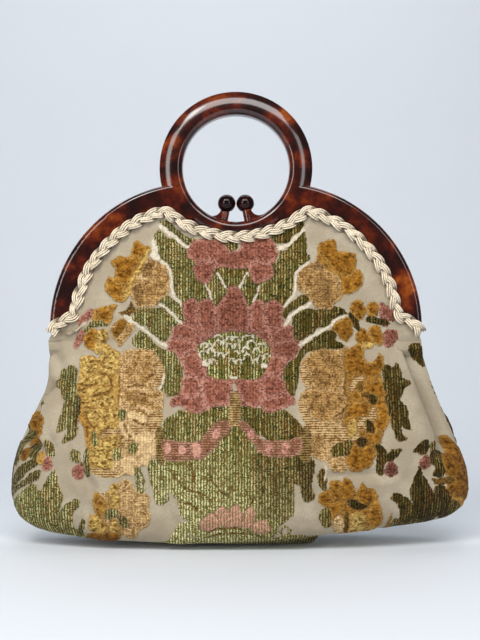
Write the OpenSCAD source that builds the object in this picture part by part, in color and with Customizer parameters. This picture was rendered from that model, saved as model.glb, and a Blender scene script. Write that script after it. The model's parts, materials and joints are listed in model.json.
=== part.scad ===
// Frame handbag: a soft cloth pouch sewn to a two-part moulded frame with a ring handle and a ball clasp.
// Millimetres. X runs across the bag, the front faces -Y and Z is up. The origin is on the floor under the middle.

/* [Frame] */
// Thickness of each half of the frame
plate_t = 7; // [5:0.5:9]
// Gap between the two halves when the bag is shut
parting_gap = 0.4; // [0.2:0.1:1]
// Outer radius of each shoulder of the arch
arch_r = 107.5; // [100:0.5:114]
// Distance from the middle to the centre of each shoulder's arc
arch_spread = 30; // [24:1:36]
// Width of the arch's arms
arm_w = 27; // [23:0.5:31]
// Diameter of the hole in the ring handle
ring_hole_d = 79; // [74:1:88]
// Width of the ring handle's band
ring_band = 17; // [14:0.5:19]
// Rounding of the ring's inner rim
ring_round = 4.7; // [3:0.1:5.5]
// How far the ring's outer face falls away to its outer rim
ring_crown = 4; // [2:0.25:5]
// How far the ring stands proud of the arch
ring_proud = 0.3; // [0.2:0.05:0.6]
// Height of the ring's centre above the foot of the arch
ring_rise = 118; // [112:1:124]
// Rounding of the frame's outer edges
edge_r = 3.5; // [2:0.25:4.5]

/* [Hinge] */
// Distance of the hinge pin below the foot of the arch
hinge_drop = 9.5; // [8:0.5:12]
// Diameter of the hinge knuckles
barrel_d = 11; // [9:0.5:12]
// Width of each hinge knuckle
knuckle_w = 8; // [6:0.5:9]
// Running gap between two knuckles
knuckle_gap = 0.4; // [0.2:0.1:0.8]
// Diameter of the hinge pin
pin_d = 3; // [2:0.25:4]
// Diameter of the pin's head
pin_head_d = 6; // [5:0.25:8]
// Thickness of the pin's head
pin_head_t = 1.2; // [0.8:0.1:2]
// Radial clearance of the pin in the turning knuckle
pin_clear = 0.05; // [0.02:0.01:0.1]

/* [Clasp] */
// Diameter of each clasp ball
ball_d = 13.2; // [11:0.2:15]
// Gap between the two balls when the clasp is shut
ball_gap = 0.6; // [0.4:0.1:1.2]
// Distance of the balls' centres below the ring's centre
ball_drop = 25.7; // [23:0.1:28]
// Diameter of the stem under each ball
stem_d = 6.6; // [5:0.2:8]
// Distance of each stem's foot from the middle
stem_foot_x = 11; // [9:0.5:14]
// Radius of the fillet between the stem and the ring
stem_fillet_r = 6; // [4:0.5:8]
// Thickness of that fillet
stem_web_t = 4.5; // [3:0.5:6]

/* [Pouch] */
// Height of the foot of the arch above the floor
arch_foot_z = 159.5; // [150:0.5:170]
// Greatest width of the pouch
pouch_w = 337; // [320:1:350]
// Height of the pouch's widest part
belly_z = 42; // [36:1:50]
// Greatest depth of the pouch, front to back
pouch_depth = 78; // [64:1:90]
// Width of the flat of the base
base_w = 130; // [110:1:150]
// Depth of the flat of the base
base_depth = 46; // [38:1:54]
// Thickness of the cloth
cloth_t = 1.6; // [1.2:0.1:2.2]
// How far the side seam is tucked in under the hinge
side_tuck = 9; // [4:0.5:13]
// How far the cloth laps over the arch
hem = 8; // [5:0.5:11]
// How far the cloth laps over the ring's lower rim
ring_lap = 5; // [3:0.5:7]
// Radius of the cloth's scallop under the ring
scallop_r = 79; // [72:1:90]
// Thickness of the lining
lining_t = 0.8; // [0.5:0.1:1.2]
// Gap between the cloth and the lining
lining_gap = 0.6; // [0.3:0.1:1]

/* [Braid] */
// Width of the braid over the cloth's edge
braid_w = 10.5; // [8:0.5:13]
// Height of the braid above the cloth
braid_t = 4.5; // [3:0.5:6]
// Length of one lobe of the braid
lobe_pitch = 10.5; // [8:0.5:14]

/* [Hidden] */
$fn = 96;

tortoiseshell = [0.30, 0.11, 0.05];
dark_ball = [0.13, 0.04, 0.03];
steel = [0.72, 0.70, 0.66];
jacquard = [0.66, 0.58, 0.38];
lining_cloth = [0.78, 0.70, 0.56];
cord_cream = [0.89, 0.83, 0.71];

// The frame's main levels and radii
face_y = parting_gap / 2 + plate_t;
cloth_face_y = face_y + cloth_t;
ring_z = arch_foot_z + ring_rise;
ring_in_r = ring_hole_d / 2;
ring_out_r = ring_in_r + ring_band;
ring_peak_r = ring_in_r + ring_round;
ring_t = plate_t + ring_proud;
ring_join_r = ring_peak_r + 2;
opening_r = arch_r - arm_w;
hinge_z = arch_foot_z - hinge_drop;
arm_mid_x = arch_spread + arch_r - arm_w / 2;
big = 3 * arch_r;

// The cloth's edge on the frame: two shoulder arcs and a scallop under the ring
edge_path_r = opening_r + hem;
scallop_z = ring_z - ring_out_r + ring_lap + scallop_r;
centre_gap = norm([arch_spread, scallop_z - arch_foot_z]);
gap_angle = atan2(scallop_z - arch_foot_z, -arch_spread);
peak_along = (edge_path_r * edge_path_r - scallop_r * scallop_r + centre_gap * centre_gap)
    / (2 * centre_gap);
peak_turn = acos(peak_along / edge_path_r);
// Angle of the scallop's peak, seen from the right shoulder's centre
peak_angle = gap_angle - peak_turn;
peak_x = arch_spread + edge_path_r * cos(peak_angle);

// The pouch: the front cloth is parted near seam_z, along a cylinder round the hinge pins,
// so that its upper part swings clear with the frame
seam_gap = 0.3;
seam_z = arch_foot_z + 2.5;
seam_r = norm([face_y + cloth_t / 2, seam_z - hinge_z]);
notch_z = hinge_z - barrel_d / 2 - 2.5;
hinge_half_w = arch_spread + arch_r;
columns_middle = 8;
columns_side = 7;
columns = 2 * (columns_middle + columns_side);
rows_below = 6;
rows_above = 7;

function mix(a, b, t) = a + (b - a) * t;
function ease(t) = let (u = min(1, max(0, t))) u * u * (3 - 2 * u);
function bulge(t) = pow(max(0, 1 - pow(min(1, max(0, t)), 2.5)), 0.4);

// Half the pouch's width and depth at a height
function half_width(z) = z >= belly_z
    ? mix(hinge_half_w, pouch_w / 2, ease((hinge_z - z) / (hinge_z - belly_z)))
    : mix(base_w / 2, pouch_w / 2, bulge((belly_z - z) / belly_z));
function half_depth(z) = z >= belly_z
    ? mix(cloth_face_y, pouch_depth / 2, ease((seam_z - z) / (seam_z - belly_z)))
    : mix(base_depth / 2, pouch_depth / 2, bulge((belly_z - z) / belly_z));
// How square the pouch's section is at a height
function squareness(z) = mix(2.6, 7, ease((z - belly_z) / (seam_z - belly_z)));

// A point of the pouch's front half: s runs from -1 at the left side seam to 1 at the right one
function pouch_point(s, z, inset) = let (
        w = half_width(z) - inset,
        d = half_depth(z) - inset,
        y = d * sqrt(max(0, 1 - pow(abs(sin(90 * s)), squareness(z)))),
        fold = side_tuck * ease((z - belly_z) / (hinge_z - belly_z)) * pow(max(0, 1 - 2 * y / d), 2),
        x = w * abs(sin(90 * s)) - fold
    ) [sign(s) * x, -y];

// Heights of the pouch's rows, below and above its widest part
function row_z(j, top) = j <= rows_below
    ? belly_z * pow(j / rows_below, 2)
    : mix(belly_z, top, (j - rows_below) / rows_above);
// The cloth stops below the hinge knuckles near each side and at the seam elsewhere
function column_top(s, inset, parted) = abs(s) > notch_s
    ? notch_z
    : parted
        ? hinge_z + sqrt(pow(seam_r - seam_gap / 2, 2) - pow(cloth_face_y - inset, 2))
        : seam_z;
notch_s = asin((opening_r + arch_spread - 2) / hinge_half_w) / 90;
function column_s(i) = let (k = i - columns / 2)
    abs(k) <= columns_middle
        ? notch_s * k / columns_middle
        : sign(k) * mix(notch_s + 0.01, 1, (abs(k) - columns_middle - 1) / (columns_side - 1));

// One surface of half of the pouch, raised off the floor by its inset
function pouch_row(j, inset, parted) = [for (i = [0 : columns]) let (
        s = column_s(i),
        top = column_top(s, inset, parted),
        z = j < 0 ? 0 : row_z(j, top),
        lifted = mix(inset, top, z / top),
        p = pouch_point(s, z, inset)
    ) j < 0 ? [0.8 * p[0], 0, lifted] : [p[0], p[1], lifted]];
function pouch_surface(inset, parted) =
    [for (j = [-1 : rows_below + rows_above]) each pouch_row(j, inset, parted)];

// Triangles of a grid of points, starting at point first
function grid_faces(across, up, first, flip) = [for (j = [0 : up - 1], i = [0 : across - 1]) let (
        a = first + j * (across + 1) + i,
        b = a + 1,
        c = b + across + 1,
        d = a + across + 1,
        cut = 2 * i < across ? [[a, c, b], [a, d, c]] : [[a, d, b], [b, d, c]]
    ) each flip ? cut : [for (t = cut) [t[0], t[2], t[1]]]];
// Triangles that join two rows of points into an edge
function strip_faces(outer, inner) = [for (i = [0 : len(outer) - 2])
    each [[outer[i], outer[i + 1], inner[i + 1]], [outer[i], inner[i + 1], inner[i]]]];

// The front half of a sewn pouch, with its outer face inset from the cloth's
module pouch_half(inset, thickness, parted) {
    up = rows_below + rows_above + 1;
    count = (columns + 1) * (up + 1);
    foot = [for (i = [0 : columns]) i];
    top = [for (i = [columns : -1 : 0]) up * (columns + 1) + i];
    right = [for (j = [0 : up]) j * (columns + 1) + columns];
    left = [for (j = [up : -1 : 0]) j * (columns + 1)];
    polyhedron(
        points = concat(pouch_surface(inset, parted), pouch_surface(inset + thickness, parted)),
        faces = concat(
            grid_faces(columns, up, 0, true),
            grid_faces(columns, up, count, false),
            [for (edge = [foot, right, top, left]) each strip_faces(edge, [for (p = edge) p + count])]
        )
    );
}

// The cloth's edge on the frame as a flat shape that lies between the two shoulders
module shoulders(radius) {
    translate([-arch_spread, arch_foot_z]) circle(radius);
    translate([arch_spread, arch_foot_z]) circle(radius);
    translate([-arch_spread, arch_foot_z]) square([2 * arch_spread, radius]);
}

// The upper part of a panel, flat against the frame, down to the height foot
module cloth_top(radius, ring_cut_r, ring_cut_z, foot) {
    difference() {
        shoulders(radius);
        translate([0, ring_cut_z]) circle(ring_cut_r);
        translate([-big, foot - 2 * big]) square(2 * big);
    }
}

// Frames and cloth tops are drawn flat, with Z as their second axis, then stood up facing the front
module stand_up() {
    rotate([90, 0, 0]) children();
}

module to_back() {
    mirror([0, 1, 0]) children();
}

// A rod between two points
module rod(from, to, from_d, to_d) {
    run = to - from;
    translate(from)
        rotate([0, acos(run[2] / norm(run)), atan2(run[1], run[0])])
            cylinder(h = norm(run), d1 = from_d, d2 = to_d);
}

// A round plate whose outer face has a rounded rim
module shoulder_plate(x) {
    translate([x, arch_foot_z, parting_gap / 2])
        rotate_extrude() {
            square([arch_r - edge_r, plate_t]);
            square([arch_r, plate_t - edge_r]);
            translate([arch_r - edge_r, plate_t - edge_r]) circle(edge_r, $fn = 48);
        }
}

// The ring handle: its outer face is rounded towards the hole and falls away in an arc to the outer rim
module ring_band_solid() {
    fall = ring_out_r - ring_peak_r;
    crown_r = (fall * fall + ring_crown * ring_crown) / (2 * ring_crown);
    translate([0, ring_z, parting_gap / 2])
        rotate_extrude() {
            translate([ring_in_r, 0]) square([ring_round, ring_t - ring_round]);
            intersection() {
                translate([ring_in_r, 0]) square([ring_round, ring_t]);
                translate([ring_peak_r, ring_t - ring_round]) circle(ring_round);
            }
            intersection() {
                translate([ring_peak_r, 0]) square([fall, ring_t]);
                translate([ring_peak_r, ring_t - crown_r]) circle(crown_r, $fn = 240);
            }
        }
}

// The arch with its shoulders, cut out for the cloth and for the ring
module arch_solid() {
    difference() {
        union() {
            shoulder_plate(-arch_spread);
            shoulder_plate(arch_spread);
            translate([-arch_spread, arch_foot_z, parting_gap / 2])
                cube([2 * arch_spread, arch_r - edge_r, plate_t]);
        }
        translate([-big, arch_foot_z - 2 * big, -big]) cube(2 * big);
        translate([0, 0, -1]) linear_extrude(plate_t + 2) difference() {
            shoulders(opening_r);
            translate([0, ring_z]) circle(ring_join_r);
        }
        translate([0, ring_z, -1]) cylinder(h = plate_t + 2, r = ring_join_r);
    }
}

// The room that the other half's ring takes up, which the leaning stem keeps out of
module other_ring_space() {
    translate([0, ring_z, -plate_t])
        rotate_extrude()
            translate([ring_in_r - 2 * parting_gap, 0])
                square([ring_band + 3 * parting_gap, plate_t + parting_gap / 2]);
}

// The fillet between the right-hand stem and the ring, between two levels: it touches both along a circle
ball_x = (ball_d + ball_gap) / 2;
ball_z = ring_z - ball_drop;
stem_foot_z = ring_z - sqrt(pow(ring_in_r + ring_band / 2, 2) - stem_foot_x * stem_foot_x);
stem_run = [stem_foot_x - ball_x, stem_foot_z - ball_z];
stem_way = stem_run / norm(stem_run);
fillet_from = [ball_x, -ball_drop] + (stem_d / 2 + stem_fillet_r) * [-stem_way[1], stem_way[0]];
fillet_half = fillet_from * stem_way;
fillet_along = sqrt(fillet_half * fillet_half - fillet_from * fillet_from + pow(ring_in_r - stem_fillet_r, 2))
    - fillet_half;
fillet_mid = fillet_from + fillet_along * stem_way;
module stem_fillet() {
    rim = fillet_mid / norm(fillet_mid) * (ring_in_r + ring_round / 2);
    translate([0, ring_z, parting_gap / 2]) linear_extrude(stem_web_t) difference() {
        polygon([
            [ball_x, -ball_drop] + fillet_along * stem_way,
            [stem_foot_x, stem_foot_z - ring_z],
            rim,
            fillet_mid
        ]);
        translate(fillet_mid) circle(stem_fillet_r);
    }
}

// One knuckle's barrel and the lug that carries it, from x to x + knuckle_w
module knuckle(x) {
    translate([x, hinge_z, 0]) rotate([0, 90, 0]) cylinder(h = knuckle_w, d = barrel_d);
    translate([x, hinge_z, parting_gap / 2]) cube([knuckle_w, hinge_drop + 0.5, barrel_d / 2 - parting_gap / 2]);
}

// Half of the frame, seen from outside: inner says whether its knuckles are the inner ones,
// stem_side is the side of the middle on which its clasp stem stands
module half_frame(inner, stem_side) {
    bore_d = inner ? pin_d : pin_d + 2 * pin_clear;
    near_x = arm_mid_x + (inner ? -knuckle_w - knuckle_gap / 2 : knuckle_gap / 2);
    ball = [stem_side * ball_x, ball_z, 0];
    foot = [stem_side * stem_foot_x, stem_foot_z, face_y / 2];
    difference() {
        union() {
            arch_solid();
            ring_band_solid();
            knuckle(near_x);
            knuckle(-near_x - knuckle_w);
            rod(foot, ball, stem_d, stem_d);
            mirror([stem_side < 0 ? 1 : 0, 0, 0]) stem_fillet();
        }
        translate([near_x - 1, hinge_z, 0]) rotate([0, 90, 0]) cylinder(h = knuckle_w + 2, d = bore_d);
        translate([-near_x - knuckle_w - 1, hinge_z, 0])
            rotate([0, 90, 0]) cylinder(h = knuckle_w + 2, d = bore_d);
        translate(ball) sphere(d = ball_d);
        other_ring_space();
    }
}

module clasp_ball(side) {
    translate([side * ball_x, ball_z, 0]) sphere(d = ball_d);
}

// The rivet through one side's knuckles, with its head on the outer end
module hinge_pin(side) {
    inner_end = arm_mid_x - knuckle_gap / 2 - knuckle_w;
    outer_end = arm_mid_x + knuckle_gap / 2 + knuckle_w;
    translate([0, 0, hinge_z]) rotate([0, side * 90, 0]) {
        translate([0, 0, inner_end]) cylinder(h = outer_end + 0.3 - inner_end, d = pin_d);
        translate([0, 0, outer_end + 0.2]) cylinder(h = pin_head_t, d = pin_head_d);
    }
}

// The braid's middle line over the cloth's edge, from the middle of the scallop to the right hinge
scallop_sweep = asin(peak_x / scallop_r);
scallop_len = scallop_r * scallop_sweep * PI / 180;
tail_angle = 6;
shoulder_sweep = peak_angle - tail_angle;
shoulder_len = edge_path_r * shoulder_sweep * PI / 180;
tail_start = [arch_spread + edge_path_r * cos(tail_angle), arch_foot_z + edge_path_r * sin(tail_angle)];
tail_end = [hinge_half_w - 0.6 * braid_w, arch_foot_z + 0.5 * braid_w - 2];
tail_len = norm(tail_end - tail_start);
half_len = scallop_len + shoulder_len + tail_len;
function braid_at(t) = t < scallop_len
    ? let (a = t / scallop_r * 180 / PI) [scallop_r * sin(a), scallop_z - scallop_r * cos(a)]
    : t < scallop_len + shoulder_len
        ? let (a = peak_angle - (t - scallop_len) / edge_path_r * 180 / PI)
            [arch_spread + edge_path_r * cos(a), arch_foot_z + edge_path_r * sin(a)]
        : mix(tail_start, tail_end, (t - scallop_len - shoulder_len) / tail_len);
function braid_line(t) = let (p = braid_at(min(abs(t), half_len))) [t < 0 ? -p[0] : p[0], p[1]];

// Cross-sections of the braid: a flat underside and a round top, with lobes that swell left and right in turn
braid_step = lobe_pitch / 4;
braid_count = round(2 * half_len / braid_step);
function braid_section(k) = let (
        t = mix(-half_len, half_len, k / braid_count),
        reach = braid_w * 0.35,
        before = braid_line(max(-half_len, t - reach)),
        after = braid_line(min(half_len, t + reach)),
        run = (after - before) / norm(after - before),
        out = [-run[1], run[0]],
        at = (before + after + 2 * braid_line(t)) / 4,
        swell = sin(180 * t / lobe_pitch),
        left = braid_w / 2 * (0.86 + 0.14 * swell),
        right = braid_w / 2 * (0.86 - 0.14 * swell),
        top = braid_t * (0.9 + 0.1 * cos(360 * t / lobe_pitch))
    ) [for (c = [[left, 0], [left * 0.95, 0.45 * top], [left * 0.55, 0.95 * top], [0, 0.8 * top],
            [-right * 0.55, 0.95 * top], [-right * 0.95, 0.45 * top], [-right, 0]])
        let (p = at + out * c[0]) [p[0], p[1], c[1]]];

module braid() {
    sides = 7;
    sections = [for (k = [0 : braid_count]) each braid_section(k)];
    translate([0, 0, cloth_face_y]) polyhedron(
        points = sections,
        faces = concat(
            [[for (c = [0 : sides - 1]) c]],
            [[for (c = [sides - 1 : -1 : 0]) braid_count * sides + c]],
            [for (k = [0 : braid_count - 1], c = [0 : sides - 1]) let (
                    a = k * sides + c,
                    b = k * sides + (c + 1) % sides
                ) each [[a, a + sides, b], [b, a + sides, b + sides]]]
        )
    );
}

module front_frame() {
    color(tortoiseshell) stand_up() half_frame(false, 1);
}

module back_frame() {
    color(tortoiseshell) to_back() stand_up() half_frame(true, -1);
}

module front_clasp_ball() {
    color(dark_ball) stand_up() clasp_ball(1);
}

module back_clasp_ball() {
    color(dark_ball) stand_up() clasp_ball(-1);
}

module left_hinge_pin() {
    color(steel) hinge_pin(-1);
}

module right_hinge_pin() {
    color(steel) hinge_pin(1);
}

module front_panel() {
    color(jacquard) pouch_half(0, cloth_t, true);
}

// The upper cloth of one side, lying on the frame's outer face
module panel_top(foot) {
    stand_up() translate([0, 0, face_y]) linear_extrude(cloth_t)
        cloth_top(edge_path_r, scallop_r, scallop_z, foot);
}

// The upper lining of one side, in the frame's opening behind the cloth
module lining_top(foot) {
    stand_up() translate([0, 0, face_y - lining_gap - lining_t]) linear_extrude(lining_t)
        cloth_top(opening_r - 0.2, ring_out_r + 0.2, ring_z, foot);
}

// Parts the upper front cloth from the lower one, round the line of the hinge pins
module part_at_seam() {
    difference() {
        children();
        translate([-big, 0, hinge_z]) rotate([0, 90, 0]) cylinder(h = 2 * big, r = seam_r + seam_gap / 2);
    }
}

module front_panel_top() {
    color(jacquard) part_at_seam() panel_top(hinge_z + 2);
}

module back_panel() {
    color(jacquard) to_back() {
        pouch_half(0, cloth_t, false);
        panel_top(seam_z);
    }
}

module front_lining() {
    color(lining_cloth) pouch_half(cloth_t + lining_gap, lining_t, true);
}

module back_lining() {
    color(lining_cloth) to_back() {
        pouch_half(cloth_t + lining_gap, lining_t, false);
        lining_top(seam_z);
    }
}

module front_lining_top() {
    color(lining_cloth) part_at_seam() lining_top(hinge_z + 2);
}

module front_braid() {
    color(cord_cream) stand_up() braid();
}

module back_braid() {
    color(cord_cream) to_back() stand_up() braid();
}

front_frame();
back_frame();
front_clasp_ball();
back_clasp_ball();
left_hinge_pin();
right_hinge_pin();
front_panel();
front_panel_top();
back_panel();
front_lining();
front_lining_top();
back_lining();
front_braid();
back_braid();
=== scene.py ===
import json
import math
import bpy
import numpy as np
from mathutils import Vector
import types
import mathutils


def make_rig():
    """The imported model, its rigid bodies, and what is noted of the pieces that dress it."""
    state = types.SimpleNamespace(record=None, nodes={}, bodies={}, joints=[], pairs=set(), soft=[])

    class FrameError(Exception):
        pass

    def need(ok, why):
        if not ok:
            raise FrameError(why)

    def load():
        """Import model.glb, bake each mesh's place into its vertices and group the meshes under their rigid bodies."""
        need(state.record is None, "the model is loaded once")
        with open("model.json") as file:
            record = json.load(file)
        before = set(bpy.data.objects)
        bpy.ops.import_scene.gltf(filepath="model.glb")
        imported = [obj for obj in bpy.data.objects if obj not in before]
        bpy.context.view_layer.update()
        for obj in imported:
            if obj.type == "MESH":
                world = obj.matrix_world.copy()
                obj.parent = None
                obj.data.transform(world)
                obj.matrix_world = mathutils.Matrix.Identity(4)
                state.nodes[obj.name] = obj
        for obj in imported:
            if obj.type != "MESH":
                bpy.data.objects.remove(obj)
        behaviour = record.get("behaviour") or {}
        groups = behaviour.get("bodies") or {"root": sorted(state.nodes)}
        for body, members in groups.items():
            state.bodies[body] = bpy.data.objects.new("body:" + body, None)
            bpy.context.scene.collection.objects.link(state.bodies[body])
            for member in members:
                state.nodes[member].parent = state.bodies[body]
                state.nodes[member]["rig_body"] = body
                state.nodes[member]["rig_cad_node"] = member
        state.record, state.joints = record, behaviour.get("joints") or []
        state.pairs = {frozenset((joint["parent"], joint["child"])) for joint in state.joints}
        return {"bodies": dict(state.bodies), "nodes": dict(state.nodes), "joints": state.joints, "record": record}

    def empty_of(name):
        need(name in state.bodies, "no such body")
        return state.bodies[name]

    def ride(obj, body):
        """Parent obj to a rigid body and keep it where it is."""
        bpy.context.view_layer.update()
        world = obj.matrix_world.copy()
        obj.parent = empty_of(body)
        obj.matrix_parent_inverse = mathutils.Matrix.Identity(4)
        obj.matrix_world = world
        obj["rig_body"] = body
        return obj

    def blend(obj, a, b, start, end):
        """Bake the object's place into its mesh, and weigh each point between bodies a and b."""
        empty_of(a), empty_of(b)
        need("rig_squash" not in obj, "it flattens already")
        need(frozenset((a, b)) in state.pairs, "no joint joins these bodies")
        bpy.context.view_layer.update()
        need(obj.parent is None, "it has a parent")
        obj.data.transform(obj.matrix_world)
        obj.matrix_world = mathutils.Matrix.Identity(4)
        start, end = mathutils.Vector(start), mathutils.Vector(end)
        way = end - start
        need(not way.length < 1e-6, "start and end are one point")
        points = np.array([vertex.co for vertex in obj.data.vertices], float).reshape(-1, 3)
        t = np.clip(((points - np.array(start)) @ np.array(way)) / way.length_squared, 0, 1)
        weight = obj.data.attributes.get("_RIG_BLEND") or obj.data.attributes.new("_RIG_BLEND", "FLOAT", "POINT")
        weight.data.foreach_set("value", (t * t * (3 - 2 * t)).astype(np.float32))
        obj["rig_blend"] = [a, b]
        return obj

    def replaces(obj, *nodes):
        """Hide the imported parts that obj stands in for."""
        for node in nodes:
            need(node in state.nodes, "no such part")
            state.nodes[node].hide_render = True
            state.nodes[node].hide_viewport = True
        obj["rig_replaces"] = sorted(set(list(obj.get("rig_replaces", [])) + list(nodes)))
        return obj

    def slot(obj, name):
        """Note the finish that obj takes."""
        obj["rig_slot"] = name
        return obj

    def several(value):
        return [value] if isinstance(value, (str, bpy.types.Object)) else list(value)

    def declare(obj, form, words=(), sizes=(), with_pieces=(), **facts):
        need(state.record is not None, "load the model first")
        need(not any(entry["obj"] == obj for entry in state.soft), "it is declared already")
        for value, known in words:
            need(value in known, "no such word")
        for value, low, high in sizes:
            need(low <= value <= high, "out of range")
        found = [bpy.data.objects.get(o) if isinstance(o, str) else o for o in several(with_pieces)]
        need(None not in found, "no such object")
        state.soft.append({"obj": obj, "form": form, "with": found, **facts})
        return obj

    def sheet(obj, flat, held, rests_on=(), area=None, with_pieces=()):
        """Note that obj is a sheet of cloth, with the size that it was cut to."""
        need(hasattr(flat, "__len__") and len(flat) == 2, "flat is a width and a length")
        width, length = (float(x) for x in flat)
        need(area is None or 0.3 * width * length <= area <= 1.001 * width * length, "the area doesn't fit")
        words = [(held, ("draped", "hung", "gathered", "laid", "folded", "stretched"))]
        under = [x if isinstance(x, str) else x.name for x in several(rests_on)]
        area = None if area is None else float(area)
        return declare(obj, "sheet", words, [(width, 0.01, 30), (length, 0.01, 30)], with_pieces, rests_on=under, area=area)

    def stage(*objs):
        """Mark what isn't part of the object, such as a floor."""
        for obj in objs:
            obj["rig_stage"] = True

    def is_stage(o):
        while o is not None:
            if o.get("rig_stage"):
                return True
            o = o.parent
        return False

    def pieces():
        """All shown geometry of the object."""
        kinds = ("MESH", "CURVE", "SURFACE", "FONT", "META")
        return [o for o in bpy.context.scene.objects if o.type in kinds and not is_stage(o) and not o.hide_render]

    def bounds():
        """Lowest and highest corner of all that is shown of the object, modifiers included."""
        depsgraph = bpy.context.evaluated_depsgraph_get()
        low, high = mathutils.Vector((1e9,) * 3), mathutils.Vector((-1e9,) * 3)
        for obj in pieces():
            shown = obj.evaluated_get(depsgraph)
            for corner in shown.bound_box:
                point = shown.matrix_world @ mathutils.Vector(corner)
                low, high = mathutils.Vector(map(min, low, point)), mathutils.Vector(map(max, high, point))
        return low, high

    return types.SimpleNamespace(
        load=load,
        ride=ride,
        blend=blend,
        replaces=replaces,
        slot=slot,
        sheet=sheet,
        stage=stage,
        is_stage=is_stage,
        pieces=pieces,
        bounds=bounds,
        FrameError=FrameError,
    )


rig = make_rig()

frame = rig.load()
cad_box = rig.bounds()
nodes = frame["nodes"]
MM = 0.001

# The camera, in millimetres, and the image's size and focal length in pixels
CAM = (3.0, -767.5, 165.2)
LENS, SENSOR = 58.1, 36.0
IMAGE = (480, 640)
FOCAL = LENS / SENSOR * IMAGE[1]
PIXEL = -CAM[1] / FOCAL

# Sizes of the pouch, in millimetres, as in the source: heights, half widths and half depths
HINGE_Z, SEAM_Z, BELLY_Z = 150.0, 162.0, 42.0
BASE_W, BELLY_W, HINGE_W = 65.0, 168.5, 137.5
BASE_D, BELLY_D, FACE_Y, FRAME_Y = 23.0, 39.0, 8.8, 7.3
BELLY_SQUARE, SEAM_SQUARE = 2.6, 7.0
RING_Z, RING_R, RING_EDGE_Y = 277.5, 56.5, 3.8

# The braid's line: a scallop, a shoulder round the arch, and a straight tail
ARCH_SPREAD, ARCH_FOOT_Z, EDGE_R = 30.0, 159.5, 88.5
SCALLOP_R, SCALLOP_Z = 79.0, 305.0
PEAK, SHOULDER_END = (51.7, 245.3), math.radians(6)
TAIL_A, TAIL_B = np.array((118.0, 168.7)), np.array((131.2, 162.75))
SCALLOP_LEN = SCALLOP_R * math.asin(PEAK[0] / SCALLOP_R)
PEAK_ANGLE = math.atan2(PEAK[1] - ARCH_FOOT_Z, PEAK[0] - ARCH_SPREAD)
SHOULDER_LEN = EDGE_R * (PEAK_ANGLE - SHOULDER_END)
TAIL_LEN = float(np.linalg.norm(TAIL_B - TAIL_A))
HALF_LEN = SCALLOP_LEN + SHOULDER_LEN + TAIL_LEN

# How the soft pouch differs from the plain one. Its sides: heights, and shares of the half width
LEFT_SIDE = ((0, 12, 20, 30, 54, 76, 98, 111, 121, 149),
             (1.0, 1.0, 1.0, .985, .985, .985, .975, .972, .975, 1.005))
RIGHT_SIDE = ((0, 24, 32, 42, 55, 73, 94, 119, 135, 150),
              (1.0, 1.01, 1.02, 1.022, 1.02, 1.008, 1.01, 1.012, 1.005, .99))
# Its bottom: places along x, from a start left of the middle, and how far each rides up
LIFT_START, LIFT_TOP_Z = 130.0, 75.0
LIFT = ((-40, -20, 2, 19, 70, 103, 130, 177, 214, 243, 265, 284, 300),
        (-1, 0, 2.5, 3.5, 4.5, 5.2, 6, 8.5, 11, 12.5, 11, 8, 4))
# Its side pleats: where the front lobe's rolled edge lies, and the heights over which a pleat opens and closes
LEFT_LOBE = ((80, 101, 115, 149), (145, 143.5, 142, 140))
RIGHT_LOBE_X, RIGHT_LOBE_Z, RIGHT_LOBE_SLOPE = 119.8, 151.0, 0.38
LEFT_OPENS, LEFT_CLOSES, RIGHT_OPENS = (62, 84), (128, 104), (58, 84)
LOBE_BACK, TUCK, LINING_TUCK = 0.45, 11.0, 13.0
# Its slack above the hinge line, and how far it keeps off the frame near that line
SLACK, CLEAR_Y, CLEAR_X, CLEAR_Z = 3.2, 6.9, 140.0, (136, 144)
# The lining inside it: its gap to the cloth, its upper edge's drop under the braid's line, and that edge's share of
# the line's width. Then how high the cloth and the lining keep over the floor, and the braid's length past its line
LINING_GAP, LINING_DROP, LINING_SHARE = 2.6, 6.5, 0.93
FLOOR_GAP, LINING_FLOOR, BRAID_TAIL = 0.1, 2.3, 9.0


def ease(t):
    u = np.clip(t, 0, 1)
    return u * u * (3 - 2 * u)


def step(v, lo, hi):
    return ease((v - lo) / (hi - lo))


def bulge(t):
    return np.maximum(0, 1 - np.clip(t, 0, 1) ** 2.5) ** 0.4


def unit(v):
    return v / np.linalg.norm(v, axis=-1, keepdims=True)


def across(d):
    """Flat directions turned a quarter to the left."""
    return np.stack([-d[:, 1], d[:, 0]], 1)


def blur(values, spread, reach, **pad):
    """Values, or columns of values, with a soft average taken along them."""
    k = np.exp(-0.5 * (np.arange(-reach, reach + 1) / spread) ** 2)
    if values.ndim > 1:
        return np.stack([blur(c, spread, reach, **pad) for c in values.T], 1)
    return np.convolve(np.pad(values, reach, **pad), k / k.sum(), "valid")


def table(z, zs, xs, spread=5.0):
    """A smooth curve through a few measured values."""
    grid = np.arange(-40.0, 300.0)
    return np.interp(z, grid, blur(np.interp(grid, zs, xs), spread, 18, mode="edge"))


def lengths(p):
    """How far along a line each of its points lies."""
    return np.r_[0, np.cumsum(np.linalg.norm(np.diff(p, axis=0), axis=1))]


def along(t, d, p):
    """Points at t on a line whose points p lie at d."""
    return np.stack([np.interp(t, d, c) for c in p.T], 1)


def resample(p, n):
    d = lengths(p)
    return along(np.linspace(0, d[-1], n), d, p)


def half_width(z):
    low = BASE_W + (BELLY_W - BASE_W) * bulge((BELLY_Z - z) / BELLY_Z)
    return np.where(z >= BELLY_Z, HINGE_W + (BELLY_W - HINGE_W) * step(z, HINGE_Z, BELLY_Z), low)


def half_depth(z):
    low = BASE_D + (BELLY_D - BASE_D) * bulge((BELLY_Z - z) / BELLY_Z)
    return np.where(z >= BELLY_Z, FACE_Y + (BELLY_D - FACE_Y) * step(z, SEAM_Z, BELLY_Z), low)


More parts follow.
